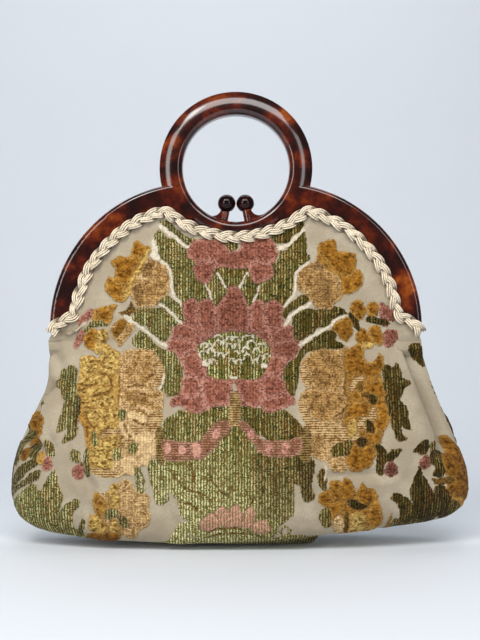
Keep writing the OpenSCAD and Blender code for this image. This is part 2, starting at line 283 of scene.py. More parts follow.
def squareness(z):
    return BELLY_SQUARE + (SEAM_SQUARE - BELLY_SQUARE) * step(z, BELLY_Z, SEAM_Z)


def side_width(z, side):
    """The pouch's half width on one side: the right side stands out more than the left."""
    return half_width(z) * table(z, *(LEFT_SIDE if side < 0 else RIGHT_SIDE))


def lobe_edge(z, side):
    """Where the front lobe's rolled edge lies above the side pleat."""
    return table(z, *LEFT_LOBE) if side < 0 else RIGHT_LOBE_X + (RIGHT_LOBE_Z - z) * RIGHT_LOBE_SLOPE


def pleat(z, side):
    """How far a side pleat is open, from 0 to 1."""
    return float(step(z, *RIGHT_OPENS) if side > 0 else step(z, *LEFT_OPENS) * step(z, *LEFT_CLOSES))


def bottom_lift(x, z):
    """The pouch's bottom corners don't sit level: the right one rides up."""
    return table(x + LIFT_START, *LIFT, 8.0) * np.clip(1 - z / LIFT_TOP_Z, 0, 1) ** 2


def half_section(z, side, n, pleated):
    """Points from the middle of the front to a side seam, in millimetres, y to the front negative."""
    z = float(z)
    d, p, w = float(half_depth(z)), float(squareness(z)), float(side_width(z, side))
    s = np.sin(np.linspace(0, math.pi / 2, 600))

    def arc(wide, deep):
        return np.stack([wide * s, -deep * np.sqrt(np.maximum(0, 1 - s ** p))], 1)

    fold = pleat(z, side) if pleated else 0
    e = min(float(lobe_edge(z, side)), w - 2)
    if pleated == "inside":
        w = (1 - fold) * w + fold * min(w, e - LINING_TUCK)
    plain = resample(arc(w, d), n)
    if fold > 0 and pleated != "inside":
        # The lobe's face, its rolled edge, and the tuck behind it, which runs out to the seam
        back, r = -LOBE_BACK * d, min(4.0, 0.1 * d + 1.2)
        turn = np.radians(np.linspace(0, 115, 12))[1:]
        lobe = resample(np.concatenate([
            arc(e, (1 - LOBE_BACK) * d) + (0, back),
            np.stack([e - r + r * np.cos(turn), back + r * np.sin(turn)], 1),
            [[e - TUCK, -0.17 * d], [e - TUCK + 1.5, -0.1 * d], [w - 4, -0.12 * d], [w, 0]]]), 4 * n)
        soft = blur(lobe, 1.3 * 4 * n / w / 2, 12, mode="reflect", reflect_type="odd")
        soft[0], soft[-1] = lobe[0], lobe[-1]
        plain = (1 - fold) * plain + fold * resample(soft, n)
    return resample(plain, n)


def braid_line(t):
    """A point of the braid's line in x and z, t millimetres along it from the middle."""
    t = np.asarray(t, float)
    u = np.abs(t)[..., None]
    a = np.minimum(u, SCALLOP_LEN) / SCALLOP_R
    b = PEAK_ANGLE - np.clip(u - SCALLOP_LEN, 0, SHOULDER_LEN) / EDGE_R
    c = np.clip((u - SCALLOP_LEN - SHOULDER_LEN) / TAIL_LEN, 0, 1)
    scallop = np.concatenate([SCALLOP_R * np.sin(a), SCALLOP_Z - SCALLOP_R * np.cos(a)], -1)
    shoulder = np.concatenate([ARCH_SPREAD + EDGE_R * np.cos(b), ARCH_FOOT_Z + EDGE_R * np.sin(b)], -1)
    line = np.where(u > SCALLOP_LEN, shoulder, scallop)
    line = np.where(u > SCALLOP_LEN + SHOULDER_LEN, TAIL_A + (TAIL_B - TAIL_A) * c, line)
    return line * np.stack([np.sign(t), np.ones_like(t)], -1)


def panel(cols, base_rows, low_rows, top_rows, pleated, inset=0.0, top=None):
    """Half of the pouch as a grid of points, with each point's place on the flat cloth."""
    zz = np.linspace(0, HINGE_Z, 3000)
    arc = lengths(np.stack([zz, half_depth(zz)], 1))
    flat_v = np.linspace(0, arc[-1], low_rows)
    P, W = [], []

    def row(z):
        left, right = (half_section(z, s, cols // 2 + 1, pleated) for s in (-1, 1))
        u = np.concatenate([-lengths(left)[:0:-1], lengths(right)])
        return np.concatenate([left[:0:-1] * (-1, 1), right]), u

    # The base, from its narrower middle line out to its edge
    foot, _ = row(0.0)
    for q in np.linspace(0, 1, base_rows, endpoint=False):
        x = foot[:, 0] * (0.8 + 0.2 * q)
        P.append(np.stack([x, foot[:, 1] * q, bottom_lift(x, 0) * q ** 2], 1))
        W.append(np.stack([x, 0 * x + BASE_D * (q - 1)], 1))
    # The belly, up to the hinge line
    for z, v in zip(np.interp(flat_v, arc, zz), flat_v):
        p, u = row(z)
        x, y = p.T
        y = np.where(np.abs(x) < CLEAR_X, np.minimum(y, -CLEAR_Y * step(z, *CLEAR_Z)), y)
        P.append(np.stack([x, y, z + bottom_lift(x, z)], 1))
        W.append(np.stack([u, 0 * u + v], 1))
    # The top, from the hinge line to the upper edge
    p, u = P[-1], W[-1][:, 0]
    c = np.linspace(-1, 1, cols + 1)
    end = braid_line(c * HALF_LEN) if top is None else top(c)
    for t in np.linspace(0, 1, top_rows + 1)[1:]:
        x = p[:, 0] + (end[:, 0] - p[:, 0]) * t
        z = p[:, 2] + (end[:, 1] - p[:, 2]) * t
        slack = SLACK * np.sin(math.pi * t ** 0.8) * (1 - np.abs(c) ** 3)
        y = -(FACE_Y + (-p[:, 1] - FACE_Y) * (1 - t) ** 2 + slack)
        P.append(np.stack([x, y, z], 1))
        W.append(np.stack([x + (u - p[:, 0]) * (1 - t), arc[-1] + z - HINGE_Z], 1))
    if top is None:
        # The edge is turned in until it meets the frame, whose ring slopes away under the braid
        past = np.hypot(end[:, 0], end[:, 1] - RING_Z) - RING_R
        face = np.where(past < 0, RING_EDGE_Y - past / 2, FRAME_Y)
        P.append(np.stack([end[:, 0], -face, end[:, 1]], 1))
        W.append(np.stack([end[:, 0], W[-1][:, 1] + FACE_Y - face], 1))
    P, W = np.array(P), np.array(W)
    return P - inset * normals(P), W


def normals(P):
    n = np.cross(np.gradient(P, axis=1), np.gradient(P, axis=0))
    return n / np.maximum(np.linalg.norm(n, axis=2, keepdims=True), 1e-9)


def project(P):
    """Where points in millimetres fall in the image, and how far they are from the camera."""
    x, y, z = np.moveaxis(P - CAM, -1, 0)
    return np.stack([IMAGE[0] / 2 + x / y * FOCAL, IMAGE[1] / 2 - z / y * FOCAL], -1), y


# The woven figures: kind, tone, and corner points in the image, which are carried onto the flat cloth.
# A number after the kind is the width of a line in pixels. A tilde marks a change of tone inside a figure.
# A row with points only has the kind and tone of the row above it. A long row goes on after a backslash.
FIGURES = """
# leaves and stems at the top
green 0 156,233 155,248 160,257 168,263 172,270 175,292 179,300 182,308 200,310 235,304 270,310 284,307 289,300 \
293,294 294,276 296,270 309,259 306,252 304,232 296,240 289,247 287,252 280,252 275,262 235,266 195,262 190,251 \
183,249 177,242 168,238 160,231
green -.2 160,222 170,222 176,229 186,236 197,241 190,244 184,243 177,237 164,230
269,232 278,228 283,221 302,221 300,230 288,241 275,243
cream:3.6 0 159,225 167,232 176,238 184,244 190,248
304,230 296,236 289,243 283,248 277,249
cream:3 0 161,261 167,265 170,272 171,284 174,295 182,306
308,262 301,267 296,274 295,286 293,295 288,301 283,308
cream 0 153,238 160,257 156,260 151,254
# upper rose
rose 0 194,241 212,239 222,239 226,243 227,250 236,252 241,249 241,242 248,238 262,235 270,238 278,251 272,263 \
250,266 238,268 208,266 190,258 187,252
rose -.1 194,268 198,264 207,262 215,264 212,278 207,283 201,281 195,275
rose .05 249,266 258,262 270,264 273,270 271,277 258,283 252,279
rose~ .18 205,243 216,242 222,248 216,258 206,262 200,252
rose~ -.2 224,252 240,252 242,262 232,266 222,262
green -.1 225,237 236,239 237,248 232,251 228,249
# stems between the roses
cream:2.2 0 217,272 222,281 227,289
248,272 244,280 240,288
206,283 209,292 213,302
260,285 257,294 253,302
# great rose
rose 0 188,324 280,324 274,345 270,372 262,382 206,382 200,366 196,345
rose -.05 182,306 192,299 198,303 200,310 200,326 190,331 184,327
rose -.1 199,304 209,299 214,303 217,312 217,327 208,332 200,327
rose -.05 249,309 258,300 264,303 266,311 266,326 258,332 250,329
rose -.1 266,306 270,301 276,300 282,305 284,314 281,325 275,329 268,327 265,316
rose -.15 217,308 225,296 228,289 239,288 249,311 249,327 243,332 225,332 218,328
rose .1 172,333 176,327 183,324 191,327 197,333 198,341 190,346 178,346 172,340
rose .2 168,343 172,339 180,339 192,343 199,349 196,358 186,361 176,359 170,352
rose .15 184,356 194,353 200,357 201,367 207,372 208,379 198,382 188,380 184,369
rose -.2 271,334 279,330 284,325 290,326 294,332 293,340 284,344 275,343
rose -.3 272,348 288,341 296,338 300,343 299,350 292,359 282,361 274,356
rose .1 269,358 276,357 291,364 284,369 282,377 276,382 266,382 261,376 266,368
rose .22 175,387 180,380 190,377 200,381 203,390 198,398 188,402 178,400 174,394
rose .1 171,400 180,396 190,398 200,396 206,402 204,411 196,415 180,406 173,407
rose .22 202,382 216,379 230,380 231,392 228,405 208,410 203,390
rose .12 238,380 250,379 262,381 262,403 244,408 238,400
rose -.02 262,380 272,376 282,379 288,388 287,397 276,401 266,399
rose 0 261,401 274,397 286,394 292,396 295,403 277,410 270,414 263,409
# its basket of seeds
green .5 200,345 212,336 222,333 250,333 268,345 270,356 266,367 262,377 250,379 222,379 211,377 207,368 201,360 198,352
green~ .2 212,357 225,354 245,354 258,358 260,366 256,375 230,376 214,374 210,366
cream:1.9 .1 213,338 216,335 220,335 223,339 224,344
213,346 214,342 217,340 220,342 221,346
201,348 202,344 205,343 208,346
200,359 199,354 202,351 206,352
207,355 209,350 212,349 214,353 214,357
217,357 218,353 221,352 224,355 224,359
226,356 227,352 230,351
239,354 237,351 234,351
255,338 251,335 246,335 243,338 242,342
247,345 248,341 252,340 255,343 256,347
242,352 244,348 247,347 250,350
252,353 254,349 257,349 260,353
258,345 261,343 265,345 266,349
243,360 244,355 247,353 251,356 251,360
263,358 264,354 268,354 270,358
cream:1.8 .1 226,341 227,336.5 231,336.5 232,341
233,341 234,336.5 238,336.5 239,341
226,348 227,343.5 231,343.5 232,348
234,348 235,343.5 239,343.5 240,348
206,349 207,344.5 211,344.5 212,349
211,364 212,359.5 216,359.5 217,364
229,363 230,358.5 234,358.5 235,363
236,364 237,359.5 241,359.5 242,364
252,364 253,359.5 257,359.5 258,364
204,364 205,359.5 209,359.5 210,364
257,360 258,355.5 262,355.5 263,360
cream .1 201,362 206,361 209,366 203,367
260,364 265,363 268,367 262,368
229,376 237,376 237,378.5 229,378.5
# its stalk
green -.1 212,408 258,408 264,420 258,436 236,446 214,438 206,424
comb -.35 230,396 240,396 240,430 230,430
# upper left flower
gold -.1 131,252 134,244 139,242 144,246 150,247 148,256 131,292 119,302 108,293 106,285 109,277 114,278 116,270 \
112,263 117,258 124,257 131,258
tan 0 149,258 154,260 166,268 169,285 168,293 160,303 146,307 141,310 137,307 131,293 138,280 145,264
gold 0 131,252 134,244 139,242 144,246 150,247 142,258 139,265 134,267 131,260
gold -.1 112,262 116,259 133,257 138,262 134,268 133,275 128,285 120,284 116,270
gold .05 109,277 113,280 117,282 121,286 129,286 124,298 119,301 113,298 107,288
tan .1 152,262 158,262 168,273 168,290 160,303 146,305 141,309 133,298 132,290 136,284 150,279 152,272
tan -.5 143,268 148,262 152,259 155,262 148,275 143,274
tan~ -.5 133,290 138,284 144,284 142,292 143,300 138,306
tan .4 138,276 153,279 146,281 139,280
gold .5 150,250 142,268 135,278 130,290 126,299 123,297 128,286 140,264 145,254
# left buds
dark 0 119,313 124,311 128,306 130,300 136,310 132,314 129,318
gold .15 92,312 97,308 104,307 111,304 117,306 114,312 112,320 107,324 100,320 93,321
gold~ -.15 101,312 107,311 108,319 103,320
green -.3 85,329 93,322 100,321 108,325 93,327 87,331
rose .15 79,322 82,316 92,309 92,316 81,326
rose .05 73,345 76,338 81,331 84,330 84,337 76,349
gold .05 84,343 85,336 90,330 96,330 99,336 95,350 89,349
gold .42 98,333 104,329 108,334 107,342 102,350 96,353
tan .1 111,332 116,322 124,319 131,322 134,328 125,341 120,346
gold -.4 113,332 118,323 124,320 127,323 117,336
# left leaves and stems
green .1 139,309 155,309 163,309 176,320 177,325 172,328 167,340 158,339 149,329 148,325 141,326 133,317
dark:1.7 0 152,313 150,321 149,328
green 0 160,303 166,297 172,299 182,308 181,313 174,311
green -.1 173,312 180,313 185,320 180,322
cream:2.6 0 159,304 167,309 175,316 182,324
cream:3 0 128,318 136,324 146,331 153,337 160,342 168,346
cream 0 124,314 131,317 133,322 127,322
green .15 133,341 137,333 142,332 158,347 172,352 183,367 178,373 168,367 160,361 155,352 136,347
green 0 160,352 170,352 176,362 182,372 181,388 176,396 168,395 162,388 166,378
cream:1.6 .1 160,372 164,378 162,386 159,392
# upper right flower
gold -.25 318,246 324,243 330,240 336,243 337,251 350,253 356,256 356,270 361,271 363,278 361,285 356,291 349,295 \
343,295 327,310 312,302 320,280 318,262
gold -.15 318,246 330,240 336,243 337,251 350,253 356,256 355,270 350,277 342,276 330,264 321,252
gold -.05 341,277 350,277 356,270 361,271 363,278 361,285 349,295 343,293 339,300 338,290
tan -.1 298,277 301,270 313,262 319,262 331,272 338,278 341,287 339,297 334,305 327,310 319,308 300,290
tan~ -.4 318,282 326,278 331,284 331,296 325,303 318,296
tan~ .25 301,284 308,282 312,290 310,298 303,292
tan -.5 310,266 316,262 323,267 317,269
tan~ .25 331,270 338,274 340,288 334,284
# right buds
gold -.2 351,306 358,300 366,309 360,321 352,312
gold -.1 367,308 371,303 377,303 378,310 375,316 369,317
gold -.25 332,327 345,317 351,319 353,326 352,334 346,342 337,333
356,336 360,330 366,330 374,345 368,349 361,347
gold -.1 369,331 378,326 383,340 378,346
gold~ .45 360,343 374,343 379,346 370,351 362,349
rose -.2 380,306 383,303 390,316 385,327 381,322
rose -.15 385,330 389,329 391,335 388,342 386,348
green -.5 367,318 374,316 388,326 370,322
349,313 356,318 360,328 358,331
# right leaves and stems
green -.2 294,316 308,309 316,310 323,309 331,310 337,307 347,313 334,319 322,327 317,326 312,334 299,340 294,336
dark:1.7 0 315,311 316,320 316,327
green -.2 305,346 326,331 333,331 336,335 334,339 345,349 330,349 308,352 302,360 298,370 295,362
green -.1 283,313 297,298 303,296 309,299 305,303 291,312 286,318
cream:2.8 0 312,303 304,307 296,312 289,319 284,326
cream:3 0 346,314 338,319 328,326 318,333 308,339 299,345
green -.1 284,368 298,358 297,386 294,396 288,390 285,380
# left great flower
gold .42 80,360 85,357 92,359 100,358 103,350 108,345 114,350 120,354 122,366 120,380 119,410 122,420 118,428 \
114,440 113,452 113,468 98,473 92,471 89,460 84,432 80,420 79,408 76,390 79,380
tan .25 122,356 128,352 138,351 146,349 157,357 157,376 155,386 160,392 163,400 162,408 158,414 160,420 156,428 \
156,450 148,464 140,467 134,472 119,477 113,474 113,460 114,448 121,424 119,410 120,366
comb .2 100,436 108,428 118,430 146,424 158,420 160,428 150,434 128,445 112,445 102,442
tan .2 120,358 127,351 150,350 157,355 159,363 156,380 148,387 140,389 122,385 118,374
tan~ .25 122,362 132,358 136,368 130,380 122,378
comb .1 156,357 162,364 161,384 152,387 157,376
tan .3 122,389 135,388 148,388 160,391 164,400 158,416 140,424 132,420 120,402
tan~ -.25 126,392 146,396 144,406 136,402 128,400
tan .62 128,413 140,408 150,411 154,418 150,426 140,427 132,424
tan .58 119,424 126,420 135,438 128,439 121,432
tan .55 138,434 150,433 156,438 156,452 148,458 138,456 134,446
119,462 128,456 136,458 140,466 134,474 126,474 119,470
tan .6 140,456 150,456 154,462 146,466 140,464
tan .35 112,465 119,462 122,472 117,477 112,472
comb .15 150,415 162,413 160,425 150,430
gold .5 80,362 82,357 88,356 99,361 100,369 97,375 90,378 82,376
gold .42 103,349 107,345 117,353 119,361 118,370 113,376 101,370 99,362
gold .5 80,377 90,377 99,374 108,377 112,383 106,387 97,386 81,384
76,386 80,383 90,387 100,386 106,388 104,394 86,396 78,395
gold .45 78,398 86,397 108,396 112,391 116,398 113,406 104,408 96,404 88,408 80,403
gold .5 84,410 92,408 113,408 117,415 113,423 104,420 95,422 87,420
gold .3 112,378 118,374 120,386 119,400 112,388
gold~ .12 81,408 90,432 92,462 93,474 88,472 86,455 84,435 80,418
gold .45 91,440 100,438 118,436 120,446 113,452 113,462 109,471 97,473 92,466 90,452
comb .1 93,468 116,472 114,477 100,476 93,474
green .5 112,450 120,448 120,459 114,459
green .3 92,431 98,438 98,447 92,441
green .2 118,412 124,410 126,419 120,420
green .3 129,444 136,444 136,453 130,453
dark:1.9 0 99,372 106,374 111,380 113,388
80,383 88,385 98,383
72,391 80,390 86,388
92,397 100,394 107,395
79,402 88,404
84,408 94,408
87,422 93,428 98,425
dark:1.7 0 104,386 106,391 112,391
125,424 128,433 131,438
134,420 140,425 150,425
119,376 120,390 119,404
90,362 96,361 100,362
128,388 136,385 146,387
139,395 146,395
# left edge
green -.15 62,368 66,370 70,366 74,366 77,372 76,382 77,392 74,400 68,401 63,397 60,388 57,386 60,378
66,402 75,399 78,410 76,424 75,436 62,443 69,429 57,432 62,412
green -.7 76,396 80,400 77,425 74,418
green 0 71,453 75,450 80,454 80,461 76,463 71,459
rose -.15 73,471 76,466 82,465 84,471 82,478 76,480
dark 0 80,460 84,464 81,466
green -.4 85,452 89,450 90,470 88,477 85,474
green -.1 45,441 51,443 55,455 50,457 46,453
rose 0 43,463 47,457 51,458 53,465 49,470 44,469
gold -.4 33,432 38,431 39,440 36,446 32,440
green -.6 29,456 33,446 38,443 41,447 38,453 36,460
gold .2 37,456 42,452 45,456 43,464 38,462
gold -.5 21,456 26,448 30,450 28,458 22,461
green -.5 26,425 32,420 34,428 25,446 20,460 15,466 18,450
gold -.3 37,412 41,415 41,428 38,436 33,430
green -.4 36,398 41,392 43,404 32,420
green -.6 13,480 20,467 28,462 36,461 38,465 28,471 13,490
green -.5 15,488 28,477 36,470 41,471 38,479 22,487 13,496
green .1 38,500 49,476 53,470 56,475 62,498 57,516 59,528 40,531 35,516
green .05 59,516 64,506 77,499 80,503 73,514 72,522 75,531 62,533 58,526
green .25 12,506 16,498 28,488 34,484 42,497 40,508 42,531 22,531 14,520
green .2 18,526 40,529 60,530 76,529 83,531 90,538 96,541 80,541 40,536 26,534
green -.4 81,520 84,522 83,533 80,533
# lower left flower
tan 0 94,500 97,492 101,495 109,490 113,485 119,484 125,480 131,483 137,490 146,494 150,502 148,512 150,520 147,527 \
138,532 132,537 120,535 104,533 96,533 89,527 91,519 97,515 94,508
gold .15 94,500 97,492 106,503 107,510 102,517 97,515 94,508
gold .42 109,490 113,485 118,488 120,505 114,508 110,505
tan .25 119,485 125,480 131,483 136,490 134,498 126,500 120,497
120,501 130,499 146,495 150,502 146,508 130,512 122,508
tan .2 126,514 146,510 150,518 147,526 138,530 128,526
gold .35 89,520 95,515 108,528 106,533 96,533 89,527
gold .5 110,526 115,520 120,527 118,533 112,533
tan .2 125,529 136,529 137,536 128,538
gold -.5 88,534 100,533 120,534 116,541 95,541
green -.15 105,512 114,509 118,514 108,519
green -.4 119,516 126,518 128,526 122,527
green 0 135,468 140,469 144,480 142,492 137,489
cream:1.2 .1 139,471 140,480 141,488
# right great flower
tan -.1 338,352 350,350 353,380 352,410 354,440 342,440 338,420 340,400 336,380
tan -.15 304,362 314,351 320,351 338,352 347,370 346,382 340,400 346,406 340,422 324,424 308,414 302,406 301,398 \
305,392 310,388 306,382
tan .05 312,432 330,436 350,440 352,450 345,470 335,470 328,463 310,453
gold -.2 344,352 350,349 357,346 361,350 363,358 370,364 381,356 383,364 380,374 382,384 388,402 388,424 384,430 \
382,436 378,442 374,460 360,470 350,470 344,464 352,448 346,430 344,420 348,402 352,394 348,386 344,366
tan -.05 303,362 316,351 334,351 341,358 344,368 344,380 340,388 330,390 318,388 310,383 304,374
tan~ -.35 314,376 320,371 328,373 330,384 322,388 315,384
tan~ -.25 322,354 332,354 339,362 334,368 324,364
tan 0 302,396 310,391 322,390 334,392 343,396 346,404 334,420 322,422 312,418 301,403
tan~ -.25 308,399 316,394 326,397 330,406 320,413 310,408
# lines in the petals of both great flowers
tan~:2 -.3 140,352 136,366 128,378
150,356 148,370 140,384
157,372 148,380 136,388
160,396 148,396 134,398
158,410 146,404 132,404
150,420 142,412 130,410
322,353 328,366 336,378
312,358 316,372 326,384
306,374 316,382 328,388
304,398 316,396 330,398
308,410 318,404 332,404
320,420 326,412 336,408
160,268 152,278 145,284
166,282 156,286 146,290
162,296 154,294 146,296
304,272 314,278 320,286
300,284 312,286 322,290
308,298 316,294 326,294
# right great flower's petals
comb .1 300,372 306,366 311,384 306,389
299,404 304,402 311,418 322,431 306,425
comb .15 308,423 330,424 352,428 360,437 340,445 318,441 308,433
tan -.2 310,440 318,434 324,440 324,452 318,458 310,452
tan .25 322,448 332,444 336,456 326,462
green 0 335,446 351,440 353,450 346,456 338,457 332,452
tan .2 329,460 345,456 350,466 340,473 330,469
gold -.3 344,362 346,354 357,345 362,349 363,358 366,364 372,365 380,355 383,362 380,372 372,378 352,374 346,378
gold -.2 346,396 346,386 350,378 358,374 362,378 364,386 380,382 387,400 378,404 370,398 362,401
gold -.1 346,404 356,403 374,406 376,414 368,420 348,420
374,404 384,400 388,408 388,420 384,431 378,433 374,424
gold -.2 368,433 378,431 382,438 378,447 370,445
354,446 362,442 370,446 374,456 370,466 360,471 350,468 346,460 350,454
gold~ -.3 352,350 360,350 362,362 354,366
gold .35 348,422 354,420 358,430 352,437 348,432
comb .3 349,388 353,380 362,376 363,380 356,384 352,392
358,421 368,416 372,408 377,412 374,420 360,431
dark 0 358,382 361,384 361,391 358,392
361,393 370,394 369,398 362,398
green -.5 370,395 377,398 374,405 370,403
dark:2 0 352,404 346,407 341,413 335,418
green -.7 365,422 372,423 374,433 368,431
green -.5 357,440 364,438 367,442 360,447
dark:1.7 0 345,372 344,386 346,398
# right edge
green -.35 383,370 386,365 392,368 396,363 400,370 401,378 406,379 411,384 405,388 402,394 396,399 385,392
386,396 394,396 402,402 407,410 409,424 411,430 405,428 400,424 402,434 407,439 400,441 395,434 386,404
dark:1.7 0 391,398 394,410 396,424
green -.5 376,446 380,444 386,452 388,460 384,464 384,473 380,475 376,468 378,458
387,457 392,451 400,449 392,463
rose -.6 386,468 390,462 396,466 397,473 391,477 386,473
green -.7 413,450 424,440 429,442 427,450 422,455 416,452
rose -.4 419,461 426,455 431,460 428,468 422,468
green -.1 431,446 436,442 441,452 441,462 436,467 430,458
green -.5 439,462 445,468 440,477 433,474
gold -.4 440,442 446,435 458,448 466,468 470,490 467,500 458,503 450,499 446,490 448,480 444,470 442,458 445,450
gold .15 451,494 466,503 461,513 454,509
dark 0 431,479 438,478 446,476 454,480 446,485 435,484
green -.65 412,486 417,470 420,467 423,476 432,492 434,504 436,514 428,521 418,517 410,494
green -.7 434,490 440,485 446,490 450,500 450,513 440,519 434,508
green -.3 391,497 397,493 410,502 415,525 400,527 400,512 397,504
green 0 448,504 454,500 459,506 457,516 450,517
green .2 389,532 395,518 404,523 416,519 430,520 444,516 457,513 452,522 430,527 395,533
gold -.5 384,528 391,513 390,522 387,531
# lower right flower
gold -.25 319,498 330,488 331,483 337,480 342,483 347,479 352,484 354,492 358,490 362,483 367,488 373,489 377,496 \
377,502 381,508 381,520 368,534 358,533 340,533 334,530 331,522 330,512
gold -.3 319,498 330,490 336,504 330,508 322,505
gold -.2 330,484 336,480 341,484 341,494 338,500 333,496
gold -.25 341,486 346,479 352,484 353,492 350,500 343,500
358,494 362,483 366,488 372,489 376,496 372,505 364,507 359,502
gold -.15 330,506 337,502 341,508 340,516 334,521 330,514
gold .05 371,506 378,500 381,520 375,527 368,520
gold .42 350,516 358,512 364,516 364,527 358,533 350,531
tan .5 334,520 341,516 344,524 342,533 335,531
gold .35 364,525 375,527 372,533 362,535
dark 0 345,513 349,515 348,531 344,531
green -.15 321,513 326,508 330,513 331,525 325,528 320,520
green -.6 347,501 358,502 367,506 358,509 350,507
green -.3 319,475 324,469 327,480 325,491 320,486
cream:1.8 .1 325,466 326,474 325,482
# small leaves on the right
green -.25 408,350 412,344 420,344 426,352 428,360 424,367 418,362 412,358
green -.3 440,376 443,384 444,394 441,390
448,402 451,410 452,420 448,412
# leaves under the great rose
green .1 163,424 170,417 182,411 195,414 208,410 222,409 222,421 206,433 200,441 190,444 178,441 166,441 162,432
green -.15 241,410 256,408 270,413 283,410 300,424 300,437 290,440 270,441 262,433 254,428
rose~ .36 221,409 230,409 230,424 222,421
# vase
green .25 149,463 163,461 190,460 205,457 222,440 230,428 240,428 248,440 258,450 275,456 300,456 312,460 313,474 \
310,482 300,485 293,486 294,510 289,518 270,531 250,532 235,530 215,530 188,520 180,512 177,500 166,485 152,479
green~ -.2 255,452 275,456 300,456 300,484 292,486 292,510 280,526 262,530 257,500 253,470
green .15 149,464 158,462 163,474 168,490 169,500 162,505 156,501 149,474
green -.6 300,459 312,458 314,470 311,484 314,498 307,502 302,496 301,484
comb -.6 157,431 163,431 164,461 157,461
comb -.5 300,431 310,430 310,459 300,459
# its rose bands
rose .36 163,441 172,441 186,443 198,442 205,434 220,421 229,423 229,432 222,439 216,447 203,458 190,460 172,461 164,457
240,421 247,423 261,438 270,441 286,442 299,438 300,450 292,456 264,454 243,430
rose .6 165,444 170,444 171,452 166,453
180,447 185,447 186,454 180,454
193,444 199,444 200,456 194,456
rose .55 213,431 218,429 219,437 213,438
rose .5 248,430 252,432 253,438 248,437
266,445 271,445 271,452 266,452
283,445 288,445 288,453 283,453
# its veins
dark:1.7 0 170,470 180,484 190,490 204,494 212,501
178,503 190,503 198,511
210,465 211,480 218,487
219,490 228,496 232,486
190,462 193,472 194,482
245,489 252,500 250,513
262,466 261,480 264,492
276,470 275,484 278,500
cream~ .2 234,427 237,424 239,432 236,438
# tulip
green .3 196,518 270,518 277,530 268,538 236,534 200,538 190,530
rose .7 228,525 229,512 235,505 240,510 242,525
218,523 215,512 222,507 229,514 228,526
242,525 246,512 252,507 255,514 250,527
199,525 206,516 212,514 219,524 214,531 204,529
251,527 258,520 266,521 269,530 258,533
dark:1.8 0 207,533 216,529 228,527 240,528 251,532
194,541 206,537 220,533.5 236,532.5 250,534 266,537
# foot
green .2 165,541 172,535 180,524 188,524 190,537 206,538 240,534 270,538 290,534 308,536 317,538 306,543 280,544 \
240,546 170,548 154,546
cream~ .1 270,526 278,528 281,535 271,535
green:1.8 -.1 282,535 281,530 285,527 289,529 288,534
green:1.6 -.1 310,539 312,535 317,535 316,539
"""


# The kinds of figure, those that are drawn fine, and how high each one's pile stands in millimetres
LAYERS = ("green", "rose", "gold", "tan", "cream", "comb", "dark")
FINE = ("cream", "dark")
PILE = (("rose", 1.1), ("gold", 1.3), ("tan", 1.0), ("green", 0.7), ("comb", 0.4), ("dark", 0.2))
# How far from a figure distances are taken, what stands for further away, and how far pile spreads past its outline
REACH, FAR, SPREAD = 7.0, 30.0, 0.45
# How far a thread lies out of place: in small and large waves, with their sizes, and at random
SMALL, SMALL_SIZE, LARGE, LARGE_SIZE, SHAKE = 0.6, 2.6, 0.5, 6.5, 0.5

# Soft dents in the cloth: image points of each dent's two ends, its half width and depth in millimetres
DENTS = (((53, 352), (63, 373), 4.5, 2.2), ((76, 466), (93, 488), 4.5, 2.6), ((80, 412), (86, 452), 3.5, 1.6),
         ((322, 477), (392, 474), 3.5, 2.0), ((165, 505), (180, 536), 4.0, 1.6), ((287, 500), (285, 530), 4.0, 1.4),
         ((46, 430), (52, 446), 4.0, 1.6), ((355, 300), (372, 345), 5.0, 1.2), ((90, 486), (84, 520), 3.5, 1.4))


def smooth_outline(p, n=4):
    """A closed curve through a shape's corners."""
    a, b, c, d = (np.roll(p, k, 0)[:, None, :] for k in (1, 0, -1, -2))
    t = (np.arange(n) / n)[None, :, None]
    r = 2 * b + (c - a) * t + (2 * a - 5 * b + 4 * c - d) * t ** 2 + (3 * b - a - 3 * c + d) * t ** 3
    return 0.5 * r.reshape(-1, 2)


def line_outline(p, wide):
    """The outline of a line of some width through a few points."""
    side = across(unit(np.gradient(p, axis=0))) * wide / 2
    return np.concatenate([p + side, (p - side)[::-1]])


def distance(points, outline):
    """Signed distance to a closed outline, positive inside it."""
    a, b = outline, np.roll(outline, -1, 0)
    e = b - a
    w = points[:, None, :] - a[None]
    k = np.clip((w * e).sum(2) / np.maximum((e * e).sum(1), 1e-9), 0, 1)
    gap = np.sqrt(((w - k[..., None] * e) ** 2).sum(2)).min(1)
    x, y = points[:, 0:1], points[:, 1:2]
    up = (a[:, 1] <= y) != (b[:, 1] <= y)
    with np.errstate(divide="ignore", invalid="ignore"):
        cross = a[:, 0] + (y - a[:, 1]) * e[:, 0] / e[:, 1]
    inside = (up & (x < cross)).sum(1) % 2 == 1
    return np.where(inside, gap, -gap)


def read_figures(turn):
    """Each figure's kind, whether it only changes the tone, its tone, and its outline on the flat cloth."""
    out = []
    for row in FIGURES.splitlines():
        if not row or row[0] == "#":
            continue
        points = row.split()
        if not row[0].isdigit():
            kind, tone, *points = points
        name, _, wide = kind.partition(":")
        p = turn(np.array([[float(c) for c in q.split(",")] for q in points]))
        p = line_outline(p, float(wide) * PIXEL) if wide else smooth_outline(p)
        out.append((name.rstrip("~"), "~" in name, float(tone), p))
    return out


